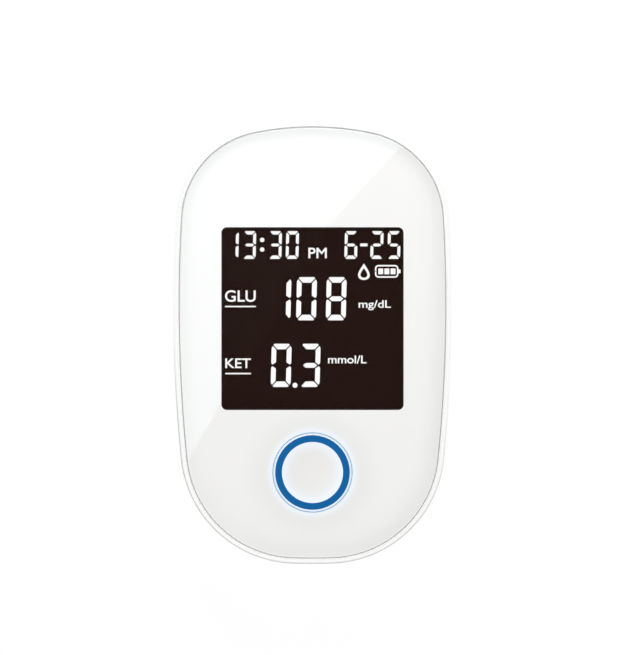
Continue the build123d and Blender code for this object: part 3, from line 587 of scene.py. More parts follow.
def textured_case(look):
    """White case plastic with spark-eroded grain outside, and a faint warm cloud where hands rub it."""
    grain = {"grain": look.grain_size / MM, "depth": look.grain_depth / MM, "marks": 0.08}
    made = plastic("Housing grained", look.case_colour, 0.42, **grain)
    cloud = made.noise(made.place(), 0.09, 4.0, 0.8)
    return made.paint(made.ramp(cloud, 0.42, 0.75, 0.0, 0.5), 243, 242, 238)


class METER_OT_housing(bpy.types.Operator):
    """Finishes the two housing shells and the battery door"""

    bl_idname = "meter.housing"
    bl_label = "Housing"

    def execute(self, context):
        look = context.scene.meter_housing
        gloss_case(look).dress("front_cover")
        textured_case(look).dress("back_cover", "battery_door")
        return {"FINISHED"}


def halo_light(made, look, strength, *ring):
    """The light that the lit sleeve throws on a surface round a circle about the button."""
    return made.layer("Emission Color", made.halo(BUTTON_CENTRE, *ring), dimmed(look.halo_colour, strength))


class METER_OT_panel(bpy.types.Operator):
    """Finishes the glossy face panel and its adhesive sheet"""

    bl_idname = "meter.panel"
    bl_label = "Face panel"

    def execute(self, context):
        look = context.scene.meter_housing
        gloss = {"Coat_Weight": 1.0, "Coat_Roughness": 0.008}
        made = Finish("Panel pearl", look.panel_colour, 0.012, **gloss, **NO_GLOW).handled(0.007, size=14.0)
        facing = made.facing()
        # painted shade on the panel's rolled edge, weaker on its left
        rolled_edge_shade = made.ramp(facing["Z"], 0.9995, 0.98)
        faint_on_left = made.ramp(facing["X"], -0.12, 0.0, 0.4, 1.0)
        made.layer("Base Color", made.product(rolled_edge_shade, faint_on_left), look.panel_pearl_and_shade_colour)
        # painted shade along the far edge where it dips, and a painted highlight along the near edge
        depth = made.split(made.place(UP * corners("face_panel")[1][2]))["Z"]
        far_edge_painted_shade = made.product(made.ramp(depth, -0.62, -0.3, 1.0, 0.0), made.ramp(facing["Y"], -0.1, 0.17))
        near_edge_painted_highlight = made.ramp(facing["Y"], -0.13, -0.3)
        made.paint(far_edge_painted_shade, 229, 229, 228).paint(near_edge_painted_highlight, 255, 255, 254)
        # pearl is a random mottle of the panel's own tone; shade is painted shade in a ring round the button
        pearl = made.ramp(made.noise(made.place(), 0.12, 3.0, 0.6), 0.4, 0.75, 0.0, 0.08)
        shade = made.product(made.halo(BUTTON_CENTRE, 8.3, 1.3, 3.0), 0.58)
        for mask in (pearl, shade):
            made.layer("Base Color", mask, look.panel_pearl_and_shade_colour)
        halo_light(made, context.scene.meter_button, 0.14, 7.45, 0.4, 0.6).dress("face_panel")
        film = plastic("Adhesive film", tone(226, 222, 208), 0.5, grain=0.3, marks=0.2)
        film.flecked(0.9, 0.2, 240, 238, 230).dress("panel_tape")
        return {"FINISHED"}


# ---- display

FILM = 0.016  # thickness of a lit segment or a printed layer
FILM_LIFT = 0.004  # gap between such a layer and the sheet that it is on
PRINT_FLOOR = corners("display_polarizer")[1][2] + FILM_LIFT
GASKET_WIDTH = 0.9
BORDER_EDGES = ((0.04, 1.28), (1.16, 0.72))  # outer and inner edge: less than the opening, and corner
WINDOW_SHEEN = 0.0033  # what the window's own surface adds to the display's colour

# A digit's width, segment width and lean, as shares of its height, and the gap between segments
WIDTH_SHARE, STROKE_SHARE, LEAN_SHARE = 0.468, 0.12, 0.025
SEGMENT_GAP = 0.09
LIT = {"0": "abcdef", "1": "bc", "2": "abged", "3": "abgcd", "5": "afgcd", "6": "afgedc", "8": "abcdefg"}

# Each row of digits: its setting, its digits, where it stands, and the right-hand edge of each digit's top
CLOCK_BASE = 15.03
ROWS = {
    "digits_time": ("clock_height", "1330", CLOCK_BASE, (-13.22, -10.10, -5.45, -2.38)),
    "digits_date": ("clock_height", "625", CLOCK_BASE, (8.20, 12.88, 15.96)),
    "digits_upper": ("reading_height", "108", 3.95, (-3.75, 0.86, 6.22)),
    "digits_lower": ("reading_height", "03", -8.07, (-3.71, 1.51)),
}
# The colon's x, its dots' heights as shares of the digits' height, and their radius
COLON_X, COLON_SHARES, COLON_RADIUS = -9.08, (0.34, 0.68), 0.40
POINT = (-3.15, -7.72, 0.45)  # its x, y and radius

# Each word's or bar's left, right, bottom and top
DASH = (8.60, 9.92, 17.34, 17.86)
WORDS = {
    "PM": (-0.74, 2.58, 15.20, 17.08),
    "GLU": (-15.78, -10.25, 7.33, 9.42),
    "mg/dL": (8.31, 14.12, 5.82, 7.64),
    "KET": (-15.73, -11.12, -4.62, -2.87),
    "mmol/L": (2.80, 9.74, -3.79, -2.33),
}
UNDERLINES = ((-15.78, -10.22, 6.36, 6.61), (-15.73, -11.12, -5.73, -5.48))
BATTERY_TIP = (15.46, 15.88, 12.48, 13.18)
BATTERY_BARS = [(left, left + 0.88, 12.30, 13.35) for left in (11.86, 12.97, 14.08)]
WORD_WEIGHT = 0.012

# Each icon's place and size
DROP_PLACE, DROP_SIZE = (9.27, 12.78, 0.0), (2.1, 3.0)
BATTERY_PLACE, BATTERY_SIZE = (13.38, 12.83, 0.0), (4.24, 2.3)


class METER_OT_window(bpy.types.Operator):
    """Makes the smoked window's finish and the dark border printed on its back"""

    bl_idname = "meter.window"
    bl_label = "Window"

    def execute(self, context):
        smoke = context.scene.meter_display.smoke
        clear("Window smoke", (smoke,) * 3, 0.015, 1.07).handled(0.04, size=11.0).dress("display_window")
        ink = plastic("Window ink", tone(34, 23, 20), 0.7, grain=0.05, depth=0.001)
        low, high = corners("display_gasket")
        opening = (high - low)[:2] - 2 * GASKET_WIDTH
        edges = [rounded_rectangle(*(opening - less), corner) for less, corner in BORDER_EDGES]
        top = corners("display_window")[0][2] - FILM_LIFT
        border = Shape().add(ring_prism(*edges, top - FILM, top), shift=WINDOW_CENTRE * FLAT)
        border.piece("window_print", [ink], "case", "window_smoke")
        return {"FINISHED"}


def segment_outlines(width, height, stroke):
    """The outlines of a digit's seven segments. An upright one runs from the mitre at the digit's
    corner to the mitre at its middle, with its outer corners cut back; a flat one is a trapezoid with
    cut corners, and the middle one a hexagon. The others are mirror images."""
    centre = height / 2
    upright = [(0.0, 0.87), (0.27, 0.39), (1.0, 1.18), (1.0, 0.58), (0.25, 0.08), (0.0, 0.47)]
    upright = np.array(upright) * stroke
    upright[:3, 1] = height - upright[:3, 1]
    upright[3:, 1] += centre
    half = np.array([(0.59, 0.0), (0.34, 0.27), (1.15, 1.15)]) * stroke
    flat = np.concatenate([half, (width, 0.0) - half[::-1] * (1.0, -1.0)])
    flat[:, 1] = height - flat[:, 1]
    tip, flank = 0.53 * stroke, 1.13 * stroke
    across = [tip, flank, width - flank, width - tip, width - flank, flank]
    rise = np.array([0.0, -0.5, -0.5, 0.0, 0.5, 0.5]) * stroke + centre
    right = (width, 0.0) + upright * (-1.0, 1.0)
    bottom = {name: (0.0, height) + shape * (1.0, -1.0) for name, shape in zip("dec", (flat, upright, right))}
    return {"a": flat, "f": upright, "b": right, "g": np.column_stack([across, rise]), **bottom}


def add_print(shape, outline):
    """Adds a printed layer with an outline in plan."""
    shape.add(prism(outline, PRINT_FLOOR, PRINT_FLOOR + FILM))


def add_number(shape, height, digits, base, rights):
    """Adds the lit segments of a row of digits. A digit leans: it shifts to the left in step with the
    distance below its top, and its right-hand edge is given at the top."""
    width, stroke, lean = (share * height for share in (WIDTH_SHARE, STROKE_SHARE, LEAN_SHARE))
    outlines = segment_outlines(width, height, stroke)
    for digit, right in zip(digits, rights):
        for name in LIT[digit]:
            outline = inset(outlines[name], SEGMENT_GAP / 2)
            outline[:, 0] += right - width + lean * (outline[:, 1] / height - 1)
            outline[:, 1] += base
            add_print(shape, outline)


def add_dot(shape, x, y, radius):
    """Adds a round dot."""
    add_print(shape, circle(radius, 24) + (x, y))


def add_bar(shape, left, right, bottom, top, corner):
    """Adds a bar with rounded corners."""
    outline = rounded_rectangle(right - left, top - bottom, corner, 4)
    add_print(shape, outline + ((left + right) / 2, (bottom + top) / 2))


def add_word(shape, word, left, right, bottom, top):
    """Adds a word set in the built-in typeface, made heavier by its bevel, and stretched to a box."""
    curve = bpy.data.curves.new(word, "FONT")
    curve.body, curve.extrude, curve.bevel_depth, curve.bevel_resolution = word, 0.5, WORD_WEIGHT, 0
    holder = bpy.data.objects.new(word, curve)
    mesh = bpy.data.meshes.new_from_object(holder)
    points = mesh_points(mesh)
    floor, reach = points.min(axis=0), np.ptp(points, axis=0)
    points = (points - floor) / reach * (right - left, top - bottom, FILM) + (left, bottom, PRINT_FLOOR)
    shape.add((points, [[list(face.vertices)] for face in mesh.polygons]))
    bpy.data.objects.remove(holder)
    bpy.data.curves.remove(curve)
    bpy.data.meshes.remove(mesh)


class METER_OT_readings(bpy.types.Operator):
    """Makes the lit readings, labels and icons of the display"""

    bl_idname = "meter.readings"
    bl_label = "Readings"

    def execute(self, context):
        look = context.scene.meter_display
        glow = {"Emission_Strength": 1.0 / look.smoke, "Emission_Color": look.glow_colour}
        lit = Finish("Segment glow", tone(40, 40, 40), 0.4, **glow)
        edge = lit.ramp(lit.noise(lit.place(), 1.5), 0.45, 0.7)
        lit.layer("Emission Color", edge, dimmed(look.glow_colour, 0.96))
        shapes = defaultdict(Shape)
        for name, (setting, *row) in ROWS.items():
            add_number(shapes[name], getattr(look, setting) / MM, *row)
        for share in COLON_SHARES:
            height = CLOCK_BASE + share * look.clock_height / MM
            add_dot(shapes["digits_time"], COLON_X, height, COLON_RADIUS)
        add_bar(shapes["digits_date"], *DASH, corner=0.06)
        add_dot(shapes["digits_lower"], *POINT)
        for word, box in WORDS.items():
            add_word(shapes["display_labels"], word, *box)
        for box in UNDERLINES:
            add_bar(shapes["display_labels"], *box, corner=0.03)
        self.icon_row(shapes["display_icons"])
        for name, shape in shapes.items():
            shape.piece(name, [lit], "case", "lamp_white")
        return {"FINISHED"}

    def icon_row(self, icons):
        """A drop and a full battery."""
        drop = drop_outline(*DROP_SIZE)
        hole = drop * 0.6 + (0.0, -0.2)
        icons.add(ring_prism(drop, hole, PRINT_FLOOR, PRINT_FLOOR + FILM), shift=DROP_PLACE)
        stroke, gap, corner = 0.27, 0.12, 0.5
        width, height = (side - stroke for side in BATTERY_SIZE)
        outline = np.roll(rounded_rectangle(width, height, corner), 12, axis=0)
        start, end = (-width / 2, -gap / 2), (-width / 2, gap / 2)
        path = at_height(np.concatenate([[start], outline, [end]]), PRINT_FLOOR + FILM / 2)
        icons.add(swept(path, rectangle(stroke, FILM)), shift=BATTERY_PLACE)
        add_bar(icons, *BATTERY_TIP, corner=0.1)
        for box in BATTERY_BARS:
            add_bar(icons, *box, corner=0.04)


class METER_OT_display(bpy.types.Operator):
    """Finishes the layers of the display and the frame that holds them"""

    bl_idname = "meter.display"
    bl_label = "Display layers"

    def execute(self, context):
        look = context.scene.meter_display
        leak = tuple((channel - WINDOW_SHEEN) / look.smoke for channel in look.field_colour)
        glow = {"Emission_Strength": 1.0, "Emission_Color": leak, "Specular_IOR_Level": 0.0}
        film = Finish("Polarizer film", tone(14, 10, 9), 0.35, **glow)
        film.layer("Emission Color", film.ramp(film.noise(film.place(), 0.4), 0.4, 0.7), dimmed(leak, 0.94))
        film.dress("display_polarizer")
        foam = plastic("Gasket foam", tone(38, 37, 37), 0.85, grain=0.08, depth=0.02)
        foam.flecked(0.25, 0.5, 12, 12, 12).dress("display_gasket")
        glass = clear("Display glass", (0.93, 0.97, 0.95), 0.01, 1.52).handled(0.03, size=8.0)
        glass.dress("display_front_glass", "display_rear_glass")
        guide = clear("Guide acrylic", (0.97, 0.98, 0.98), 0.03, 1.49)
        dots = guide.node("TexVoronoi", Vector=guide.place(), Scale=1.6, Randomness=0.0).outputs["Distance"]
        guide.layer("Roughness", guide.ramp(dots, 0.18, 0.24, 1.0, 0.0), 0.6).dress("light_guide")
        plastic("Holder white", tone(232, 232, 228), 0.45, grain=0.09).dress("display_holder")
        strip = plastic("Contact rubber", tone(214, 150, 140), 0.6)
        bands = strip.ramp(strip.stripes(strip.place(), 3.0), 0.45, 0.55)
        strip.paint(bands, 24, 24, 26).dress("zebra_strip")
        return {"FINISHED"}


# ---- button


class METER_OT_button(bpy.types.Operator):
    """Finishes the push button, its inlaid ring, the lit sleeve and the switch below"""

    bl_idname = "meter.button"
    bl_label = "Button"

    def execute(self, context):
        look = context.scene.meter_button
        cap = plastic("Button cap", look.cap_colour, 0.3, grain=0.12, depth=0.001, marks=0.08, **NO_GLOW)
        halo_light(cap, look, 0.15, 5.3, 1.1, 0.9)
        # a thin bluish glow painted on the cap's edge beside the lit sleeve
        rim = cap.halo(BUTTON_CENTRE, 6.85, 0.12, 0.2)
        cap.layer("Emission Color", rim, (0.13, 0.16, 0.2)).dress("button_cap")
        dull = {"grain": 0.08, "depth": 0.001, "Specular_IOR_Level": 0.08}
        plastic("Ring blue", look.ring_colour, 0.4, **dull).dress("button_ring")
        glow = {"Emission_Strength": 0.33, "Emission_Color": tone(226, 234, 244), "Specular_IOR_Level": 0.2}
        sleeve = plastic("Sleeve lit", tone(226, 236, 246), 0.35, **glow)
        line = sleeve.halo(BUTTON_CENTRE, 7.11, 0.06, 0.075)
        for socket in ("Base Color", "Emission Color"):
            sleeve.layer(socket, line, look.sleeve_colour)
        sleeve.dress("button_sleeve")
        plastic("Switch black", tone(34, 34, 36), 0.5).dress("switch_body", "buzzer")
        plastic("Plunger grey", tone(176, 176, 172), 0.45).dress("switch_plunger")
        lamp = plastic("Lamp white", tone(238, 236, 226), 0.35)
        top = lamp.ramp(lamp.facing()["Z"], 0.7, 0.9)
        phosphor = lamp.product(top, lamp.ramp(lamp.noise(lamp.place(), 0.9), 0.4, 0.6))
        lamp.paint(phosphor, 236, 208, 92).dress("button_leds", "backlight_leds")
        return {"FINISHED"}


# ---- electronics

# A gull-wing lead's side view: out of the body, up to the board, and out along it. The first number is
# the distance from the body, the second the height below the board.
LEAD = np.array([(-0.3, -0.62), (0.22, -0.62), (0.34, -0.56), (0.52, -0.16), (0.64, -0.09), (1.05, -0.09)])
LEAD_THICKNESS = 0.14
# Each chip's rows of leads: the axis that they leave along, how many, their pitch and their width
LEAD_ROWS = [("processor", axis, 12, 0.65, 0.3) for axis in (0, 1)] + [("memory_chip", 0, 4, 1.0, 0.36)]
PART_ROWS = ((9.6, 1.6, 0.8), (11.6, 1.2, 0.6))  # each row's y, and its parts' length and width
PART_COLUMNS = np.arange(-4, 5) * 2.3


def board_finish():
    """Green solder mask over copper lines that run three ways, with tinned vias."""
    made = plastic("Board green", tone(24, 92, 58), 0.32, grain=0.3, depth=0.002)
    place = made.place()
    field = made.noise(place, 0.11, 1.0)
    for turn, share in ((0.0, 0.42), (math.pi / 4, 0.5), (math.pi / 2, 0.58)):
        turned = made.node("Mapping", Vector=place, Rotation=(0.0, 0.0, turn)).outputs[0]
        off = made.math("ABSOLUTE", made.math("SUBTRACT", field, share))
        lines = made.ramp(made.stripes(turned, 0.55), 0.55, 0.62)
        trace = made.product(made.ramp(off, 0.035, 0.045, 1.0, 0.0), lines)
        made.paint(trace, 46, 128, 78).bump(trace, 0.02)
    vias = made.effect("Flecks", place, Size=2.6, Share=0.4)
    return made.paint(vias, 206, 196, 150).layer("Metallic", vias, 0.8)


def chip_finish():
    """Black moulding compound with a fine matt grain and a round mark by the first pin."""
    made = plastic("Chip black", tone(30, 30, 32), 0.55, grain=0.06, depth=0.004)
    for node in ("processor", "memory_chip"):
        low, high = corners(node)
        dot = made.halo((low[0] + 0.9, high[1] - 0.9, 0.0), 0.0, 0.3, 0.3)
        made.paint(made.ramp(dot, 0.4, 0.5), 78, 78, 80)
    return made


def add_leads(shape, node, axis, count, pitch, width):
    """Adds rows of leads to two opposite sides of a chip that hangs below the board."""
    low, high = corners(node)
    half = (high[axis] - low[axis]) / 2
    for direction in (-1, 1):
        for place in (np.arange(count) - (count - 1) / 2) * pitch:
            path = np.zeros((len(LEAD), 3)) + middle(node)
            path[:, axis] += direction * (half + LEAD[:, 0])
            path[:, 1 - axis] += place
            path[:, 2] = corners("main_board")[0][2] + LEAD[:, 1]
            shape.add(swept(path, rectangle(width, LEAD_THICKNESS)))


def add_small_part(shape, x, y, length, width, height, top):
    """Adds a chip resistor or capacitor: a rounded body between two plated ends that stand a little
    proud, each a rounded section carried along the part."""
    end, plated, lip = length / 2, 0.24 * length, 0.03
    blocks = [
        (0.05 - end, end - 0.05, width - lip, height - lip, 0),
        (-end, plated - end, width, height, 1),
        (end - plated, end, width, height, 1),
    ]
    for start, stop, across, tall, paint in blocks:
        section = rounded_rectangle(across, tall, 0.08, 3)
        path = np.array([(start, 0.0, 0.0), (stop, 0.0, 0.0)])
        shape.add(swept(path, section), paint, (x, y, top - height / 2))


class METER_OT_electronics(bpy.types.Operator):
    """Finishes the circuit board and its parts, and adds leads and small parts"""

    bl_idname = "meter.electronics"
    bl_label = "Electronics"

    def execute(self, context):
        board_finish().dress("main_board")
        chip_finish().dress("processor", "memory_chip")
        shield = metal("Shield tin", tone(200, 201, 203), 0.32, width=0.2, depth=0.004)
        shield.layer("Roughness", shield.effect("Flecks", Size=1.4, Share=0.3), 0.55)
        shield.dress("radio_module", "clock_crystal")
        tin = metal("Solder tin", tone(214, 214, 212), 0.28, width=0.05, depth=0.001)
        leads, parts = Shape(), Shape()
        for row in LEAD_ROWS:
            add_leads(leads, *row)
        leads.piece("chip_leads", [tin], "case", "shield_tin")
        ceramic = plastic("Part ceramic", tone(120, 92, 66), 0.4, grain=0.05)
        under = corners("main_board")[0][2] - 0.01
        for y, length, width in PART_ROWS:
            for x in PART_COLUMNS:
                add_small_part(parts, x, y, length, width, 0.5, under)
        parts.piece("small_parts", [ceramic, tin], "case", "chip_black")
        return {"FINISHED"}


# ---- power, fasteners, strip port

SCREW_PLACES = [(side * x, y, 0.0) for x, y in ((15.0, 29.0), (16.0, -27.0)) for side in (-1, 1)]
HEAD_HEIGHT = 1.4


class METER_OT_cells(bpy.types.Operator):
    """Finishes the coin cells and their springs, and raises a plus sign on each cell"""

    bl_idname = "meter.cells"
    bl_label = "Coin cells"

    def execute(self, context):
        cells = ("coin_cell_upper", "coin_cell_lower")
        steel = metal("Cell steel", tone(205, 204, 200), 0.24, width=0.09, depth=0.0015)
        steel.handled(0.4, size=5.0).dress(*cells)
        spring = metal("Spring steel", tone(190, 188, 183), 0.22, width=0.04, depth=0.001)
        spring.dress("cell_leaf_springs", "cell_side_clips")
        etched = metal("Cell marking", tone(132, 131, 128), 0.55, width=0.09, depth=0.001)
        signs = Shape()
        for node in cells:
            low = corners(node)[0][2]
            signs.add(prism(plus_outline(3.6, 0.9), low - 0.03, low + 0.05), shift=middle(node) * FLAT)
        signs.piece("cell_signs", [etched], "case", "cell_steel")
        return {"FINISHED"}


def screw_head(radius, top, seat, slot_width, slot_depth, crown):
    """A pan head that looks down. Its face is a grid of chords: each row has one y, and x runs across
    the circle. The height is a shallow dome, plus the slot's depth in the rows of the slot. The rim
    follows the face's edge down to the seat."""
    half, lip = slot_width / 2, 1e-3
    side = np.linspace(half, radius, 9)
    rows = np.concatenate([-side[::-1], [-half + lip, 0.0, half - lip], side])
    share = np.linspace(-1, 1, 17)
    y = np.repeat(rows[:, None], len(share), axis=1)
    x = np.sqrt(np.maximum(radius**2 - y**2, 0.0)) * share
    dome = top + crown * (x**2 + y**2) ** 2 / radius**4
    face = np.stack([x, y, np.where(np.abs(y) < half, top + slot_depth, dome)], axis=-1)
    edge = np.concatenate([face[:, -1], face[::-1, 0]])
    wall = np.stack([edge, edge * FLAT + seat * UP])
    ring = np.arange(len(edge))[None] + len(edge)
    return (face, [grid_faces(*face.shape[:2], ring=False)]), (wall, [grid_faces(2, len(edge)), ring])


def screw_thread(low, high, radius, depth, pitch):
    """A threaded shank: the radius falls from the crest by the thread's depth in a triangle wave of
    the height less the turn, and tapers to a point over the last one and a half pitches."""
    angle = turns(28)
    height = np.linspace(low, high, int((high - low) / pitch * 8))[:, None]
    phase = (height / pitch - angle / (2 * np.pi)) % 1.0
    taper = np.clip((high - height) / (1.5 * pitch), 0.15, 1.0)
    reach = (radius - depth * np.abs(2 * phase - 1)) * taper
    return tube(np.dstack([reach[..., None] * ray(angle), height + 0 * reach]))


class METER_OT_fasteners(bpy.types.Operator):
    """Makes the four threaded case screws"""

    bl_idname = "meter.fasteners"
    bl_label = "Housing screws"

    def execute(self, context):
        low, high = (corner[2] for corner in corners("case_screws"))
        steel = metal("Screw steel", tone(180, 181, 184), 0.28, width=0.06, depth=0.002)
        seat = low + HEAD_HEIGHT
        head, rim = screw_head(1.9, low, seat, slot_width=0.5, slot_depth=0.7, crown=0.42)
        thread = screw_thread(seat - 0.1, high, radius=1.0, depth=0.24, pitch=0.8)
        screws = Shape()
        for place in SCREW_PLACES:
            for patch in (head, rim, thread):
                screws.add(patch, shift=place)
        made = screws.piece("threaded_screws", [steel], "case", "screw_steel", smooth=35.0)
        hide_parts("case_screws")
        return {"FINISHED"}


class METER_OT_strip_port(bpy.types.Operator):
    """Finishes the strip port's bezel, its connector and the gilt terminals"""

    bl_idname = "meter.strip_port"
    bl_label = "Strip port"

    def execute(self, context):
        plastic("Bezel grey", tone(150, 153, 156), 0.4).dress("strip_guide")
        plastic("Connector black", tone(38, 38, 40), 0.45).dress("strip_connector")
        metal("Contact gold", (0.95, 0.72, 0.36), 0.2, width=0.04, depth=0.001).dress("strip_terminals")
        return {"FINISHED"}


def spring_coil(radius, wire, count, start, end):
    """A round-wire coil along Y. The angle grows evenly, and the advance is a straight line less a
    sine of the whole length, which closes the turns up at both ends."""
    share = np.linspace(0, 1, int(count * 30))
    advance = share - 0.72 * np.sin(2 * np.pi * share) / (2 * np.pi)
    x, z = (radius * ray(2 * np.pi * count * share)).T
    path = np.column_stack([x, start + wire / 2 + advance * (end - start - wire), z])
    return swept(path, circle(wire / 2, 12), np.array([0.0, 1.0, 0.0]))


class METER_OT_ejector(bpy.types.Operator):
    """Finishes the strip ejector's slide and makes its return spring"""

    bl_idname = "meter.ejector"
    bl_label = "Strip ejector"

    def execute(self, context):
        slide = plastic("Slide grey", tone(122, 126, 130), 0.42, grain=0.1, depth=0.004)
        slide.flecked(0.6, 0.12, 136, 140, 144).dress("ejector_slide")
        low, high = corners("ejector_spring")
        x, _, z = middle("ejector_spring")
        wire, slack = 0.32, 0.02
        bridge, tower, stroke = 24.3, 16.9, 5.0  # the coil's fixed end, its moving end and its travel
        steel = metal("Coil steel", tone(196, 195, 192), 0.2, width=0.05, depth=0.001)
        patch = spring_coil((high[0] - low[0] - wire) / 2, wire, 6.5, tower + slack, bridge - slack)
        coil = Shape().add(patch, shift=(x, 0.0, z))
        made = coil.piece("ejector_coil", [steel], "case", "spring_steel", smooth=60.0)
        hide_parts("ejector_spring")
        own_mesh(made)
        return {"FINISHED"}


# ---- stage, in metres

FLOOR_LIGHT = 0.85  # the least that an open spot of the floor receives, as a share of full white
FLOOR_RADII = (0.0, 0.06, 0.2, 1.0, 6.0)
FLOOR_DEPTH, CARD_DEPTH = -0.00004, -0.00002
CARD_EDGES = (-6.0, -2.0, 3.8)  # how far the card's rows lie outside the housing, in millimetres
SOFTBOX_CORNER, SOFTBOX_HEIGHT = (-0.0208, -0.0134), 0.8
# The softbox's distances from its corner, and the angles at which its two sides pass them, in degrees
SOFTBOX_REACH = np.array([0.0, 0.038, 0.0495, 0.054, 0.066, 0.084, 0.112, 0.166, 0.207, 0.28, 0.36, 0.48])
SOFTBOX_START = np.array([60.3, 60.3, 60.3, 59.2, 57.1, 57.9, 59.2, 59.4, 59.4, 58.4, 57.2, 57.0])
SOFTBOX_STOP = np.array([187.0, 187.0, 189.5, 190.6, 189.9, 189.1, 189.0, 188.5, 188.6, 188.8, 190.0, 190.0])
LAMPS = {  # each lamp's place, size and power
    "far light": ((0.02, 0.14, 0.15), (0.12, 0.03), 0.088),
    "left light": ((-1.6, -0.4, 0.8), (0.8, 1.6), 3.6),
    "right light": ((1.5, 0.9, 0.4), (0.6, 1.2), 1.5),
    "near light": ((0.1, -1.5, 0.35), (1.2, 0.6), 1.8),
    "under light": ((0.2, -0.4, -1.6), (1.5, 1.5), 5.5),
}
PICTURE_CENTRE = np.array([0.54, 2.70, 13.0]) * MM
SENSOR_WIDTH = 36.0


def visible_rays(net):
    """One for rays that show a surface: from the camera, a reflection or through glass."""
    path = net.node("LightPath").outputs
    seen = net.math("MAXIMUM", path["Is Camera Ray"], path["Is Glossy Ray"])
    return net.math("MAXIMUM", seen, path["Is Transmission Ray"])


def stage_sheet(name, rows, height, *unseen, ring=True):
    """A flat sheet of the stage with an empty material, which some kinds of ray don't meet."""
    mesh = bpy.data.meshes.new(name)
    points = np.concatenate([at_height(row, height) for row in rows])
    mesh.from_pydata(points.tolist(), [], grid_faces(len(rows), len(rows[0]), ring).tolist())
    made = bpy.data.objects.new(name, mesh)
    bpy.context.scene.collection.objects.link(made)
    for kind in unseen:
        setattr(made, "visible_" + kind, False)
    material = bpy.data.materials.new(name.replace("_", " ").capitalize())
    material.use_nodes = True
    material.node_tree.nodes.clear()
    mesh.materials.append(material)
    return Network(material.node_tree)


def show(net, kind, **inputs):
    """Ends a material in a shader."""
    net.node("OutputMaterial", Surface=net.node(kind, **inputs).outputs[0])


def floor_sheet(look):
    """A wide round floor, just below the object: rings about the middle with growing radii. It looks
    white, keeps the object's shadow, and can be looked through from below."""
    rings = [circle(radius, 64) for radius in FLOOR_RADII]
    net = stage_sheet("floor", rings, FLOOR_DEPTH, "diffuse", "shadow")
    level = 1.0 - look.floor_grey * FLOOR_LIGHT
    both, mix = net.node("AddShader"), net.node("MixShader")
    matt = net.node("BsdfDiffuse", Color=(look.floor_grey,) * 3)
    shine = net.node("Emission", Color=(1.0, 1.0, 1.0), Strength=net.product(visible_rays(net), level))
    net.join(matt.outputs[0], both.inputs[0])
    net.join(shine.outputs[0], both.inputs[1])
    net.join(net.node("NewGeometry").outputs["Backfacing"], mix.inputs[0])
    net.join(both.outputs[0], mix.inputs[1])
    net.join(net.node("BsdfTransparent").outputs[0], mix.inputs[2])
    net.node("OutputMaterial", Surface=mix.outputs[0])


def softbox_sheet(look):
    """The overhead light: a flat fan whose corner stands over the object. Its rows are angles about
    the corner and its columns are distances from it. Its two sides bend a little with distance, so
    that the panel's pillowed edge mirrors each of them as a straight line."""
    share = np.linspace(0.0, 1.0, 25)[:, None]
    angle = np.radians(SOFTBOX_START + (SOFTBOX_STOP - SOFTBOX_START) * share)
    fan = SOFTBOX_CORNER + SOFTBOX_REACH[:, None] * ray(angle)
    net = stage_sheet("softbox", fan, SOFTBOX_HEIGHT, "camera", "diffuse", ring=False)
    show(net, "Emission", Color=(0.95, 1.0, 1.06), Strength=look.softbox)


def dark_card():
    """A card flat on the floor under the object, which shows in glancing reflections alone and draws a
    thin line along the lower edge. Each row is the housing's farthest point in plan in each direction,
    moved in or out along that direction. The card fades from the lower edge to the upper."""
    ways = circle(1.0, 96)
    plan = mesh_points(nodes["front_cover"].data)[:, :2]
    outline = plan[(ways @ plan.T).argmax(axis=1)]
    rows = [outline + reach * MM * ways for reach in CARD_EDGES]
    net = stage_sheet("dark_card", rows, CARD_DEPTH, "camera", "diffuse", "shadow", "transmission")
    place = net.vector("NORMALIZE", net.node("TexCoord").outputs["Object"])
    down = net.vector("DOT_PRODUCT", place, (-0.25, -0.97, 0.0), "Value")
    show(net, "Emission", Color=(1.0, 1.0, 1.0), Strength=net.ramp(down, -0.1, 0.9, 1.0, 0.15))


def area_lamp(name, place, size, power):
    """A soft rectangular light beside the object, turned towards its middle."""
    light = bpy.data.lights.new(name, "AREA")
    light.shape, light.energy = "RECTANGLE", power
    light.size, light.size_y = size
    made = bpy.data.objects.new(name, light)
    made.location = place
    made.rotation_mode = "QUATERNION"
    made.rotation_quaternion = made.location.to_track_quat("Z", "Y")
    made.visible_camera = False
    bpy.context.scene.collection.objects.link(made)


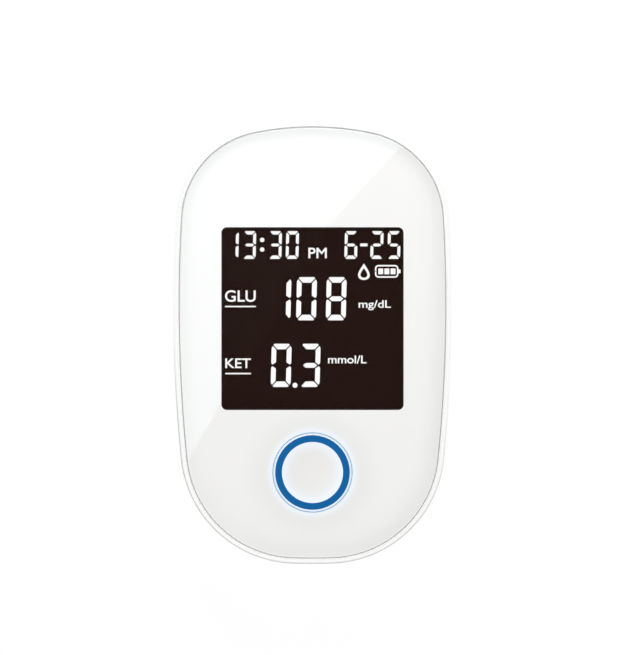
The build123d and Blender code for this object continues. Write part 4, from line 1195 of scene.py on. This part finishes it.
class METER_OT_stage(bpy.types.Operator):
    """Makes the floor, the lights, the surroundings and the camera"""

    bl_idname = "meter.stage"
    bl_label = "Stage"

    def execute(self, context):
        scene = context.scene
        look = scene.meter_stage
        scene.view_settings.view_transform = "Standard"
        floor_sheet(look)
        softbox_sheet(look)
        dark_card()
        for name, values in LAMPS.items():
            area_lamp(name, *values)
        world = scene.world = bpy.data.worlds.new("Surroundings")
        world.use_nodes = True
        net = Network(world.node_tree)
        back = world.node_tree.nodes["Background"].inputs
        net.join((1.0, 1.0, 1.0), back["Color"])
        rise = net.split(net.node("TexCoord").outputs["Generated"])["Z"]
        level = net.ramp(rise, -0.5, -0.1, look.bounce, net.ramp(rise, 0.35, 0.7, look.walls, look.ambient))
        net.join(net.node("Mix", Factor=visible_rays(net), A=level, B=1.0).outputs[0], back["Strength"])
        camera = scene.camera = bpy.data.objects.new("camera", bpy.data.cameras.new("camera"))
        camera.data.lens, camera.data.sensor_width = look.camera_lens, SENSOR_WIDTH
        camera.data.clip_end = 20.0
        camera.location = PICTURE_CENTRE + UP * look.picture_height * look.camera_lens / SENSOR_WIDTH
        scene.collection.objects.link(camera)
        return {"FINISHED"}


# ---- panel and registration


class METER_PT_sidebar(bpy.types.Panel):
    """Lists the steps that make the meter, with their settings"""

    bl_idname = "METER_PT_sidebar"
    bl_label = "Meter"
    bl_space_type = "VIEW_3D"
    bl_region_type = "UI"
    bl_category = "Meter"

    def draw(self, context):
        for group in SETTINGS:
            box = self.layout.box()
            settings = getattr(context.scene, group)
            for name in settings.__annotations__:
                box.prop(settings, name)
        for operator in OPERATORS:
            self.layout.operator(operator.bl_idname)


OPERATORS = (
    METER_OT_housing,
    METER_OT_panel,
    METER_OT_window,
    METER_OT_readings,
    METER_OT_display,
    METER_OT_button,
    METER_OT_electronics,
    METER_OT_cells,
    METER_OT_fasteners,
    METER_OT_strip_port,
    METER_OT_ejector,
    METER_OT_stage,
)
CLASSES = (*SETTINGS.values(), *OPERATORS, METER_PT_sidebar)


def register():
    for item in CLASSES:
        bpy.utils.register_class(item)
    for name, group in SETTINGS.items():
        setattr(bpy.types.Scene, name, bpy.props.PointerProperty(type=group))


def unregister():
    for name in SETTINGS:
        delattr(bpy.types.Scene, name)
    for item in reversed(CLASSES):
        bpy.utils.unregister_class(item)


def main():
    register()
    for operator in OPERATORS:
        section, name = operator.bl_idname.split(".")
        getattr(getattr(bpy.ops, section), name)()


if __name__ == "__main__":
    main()
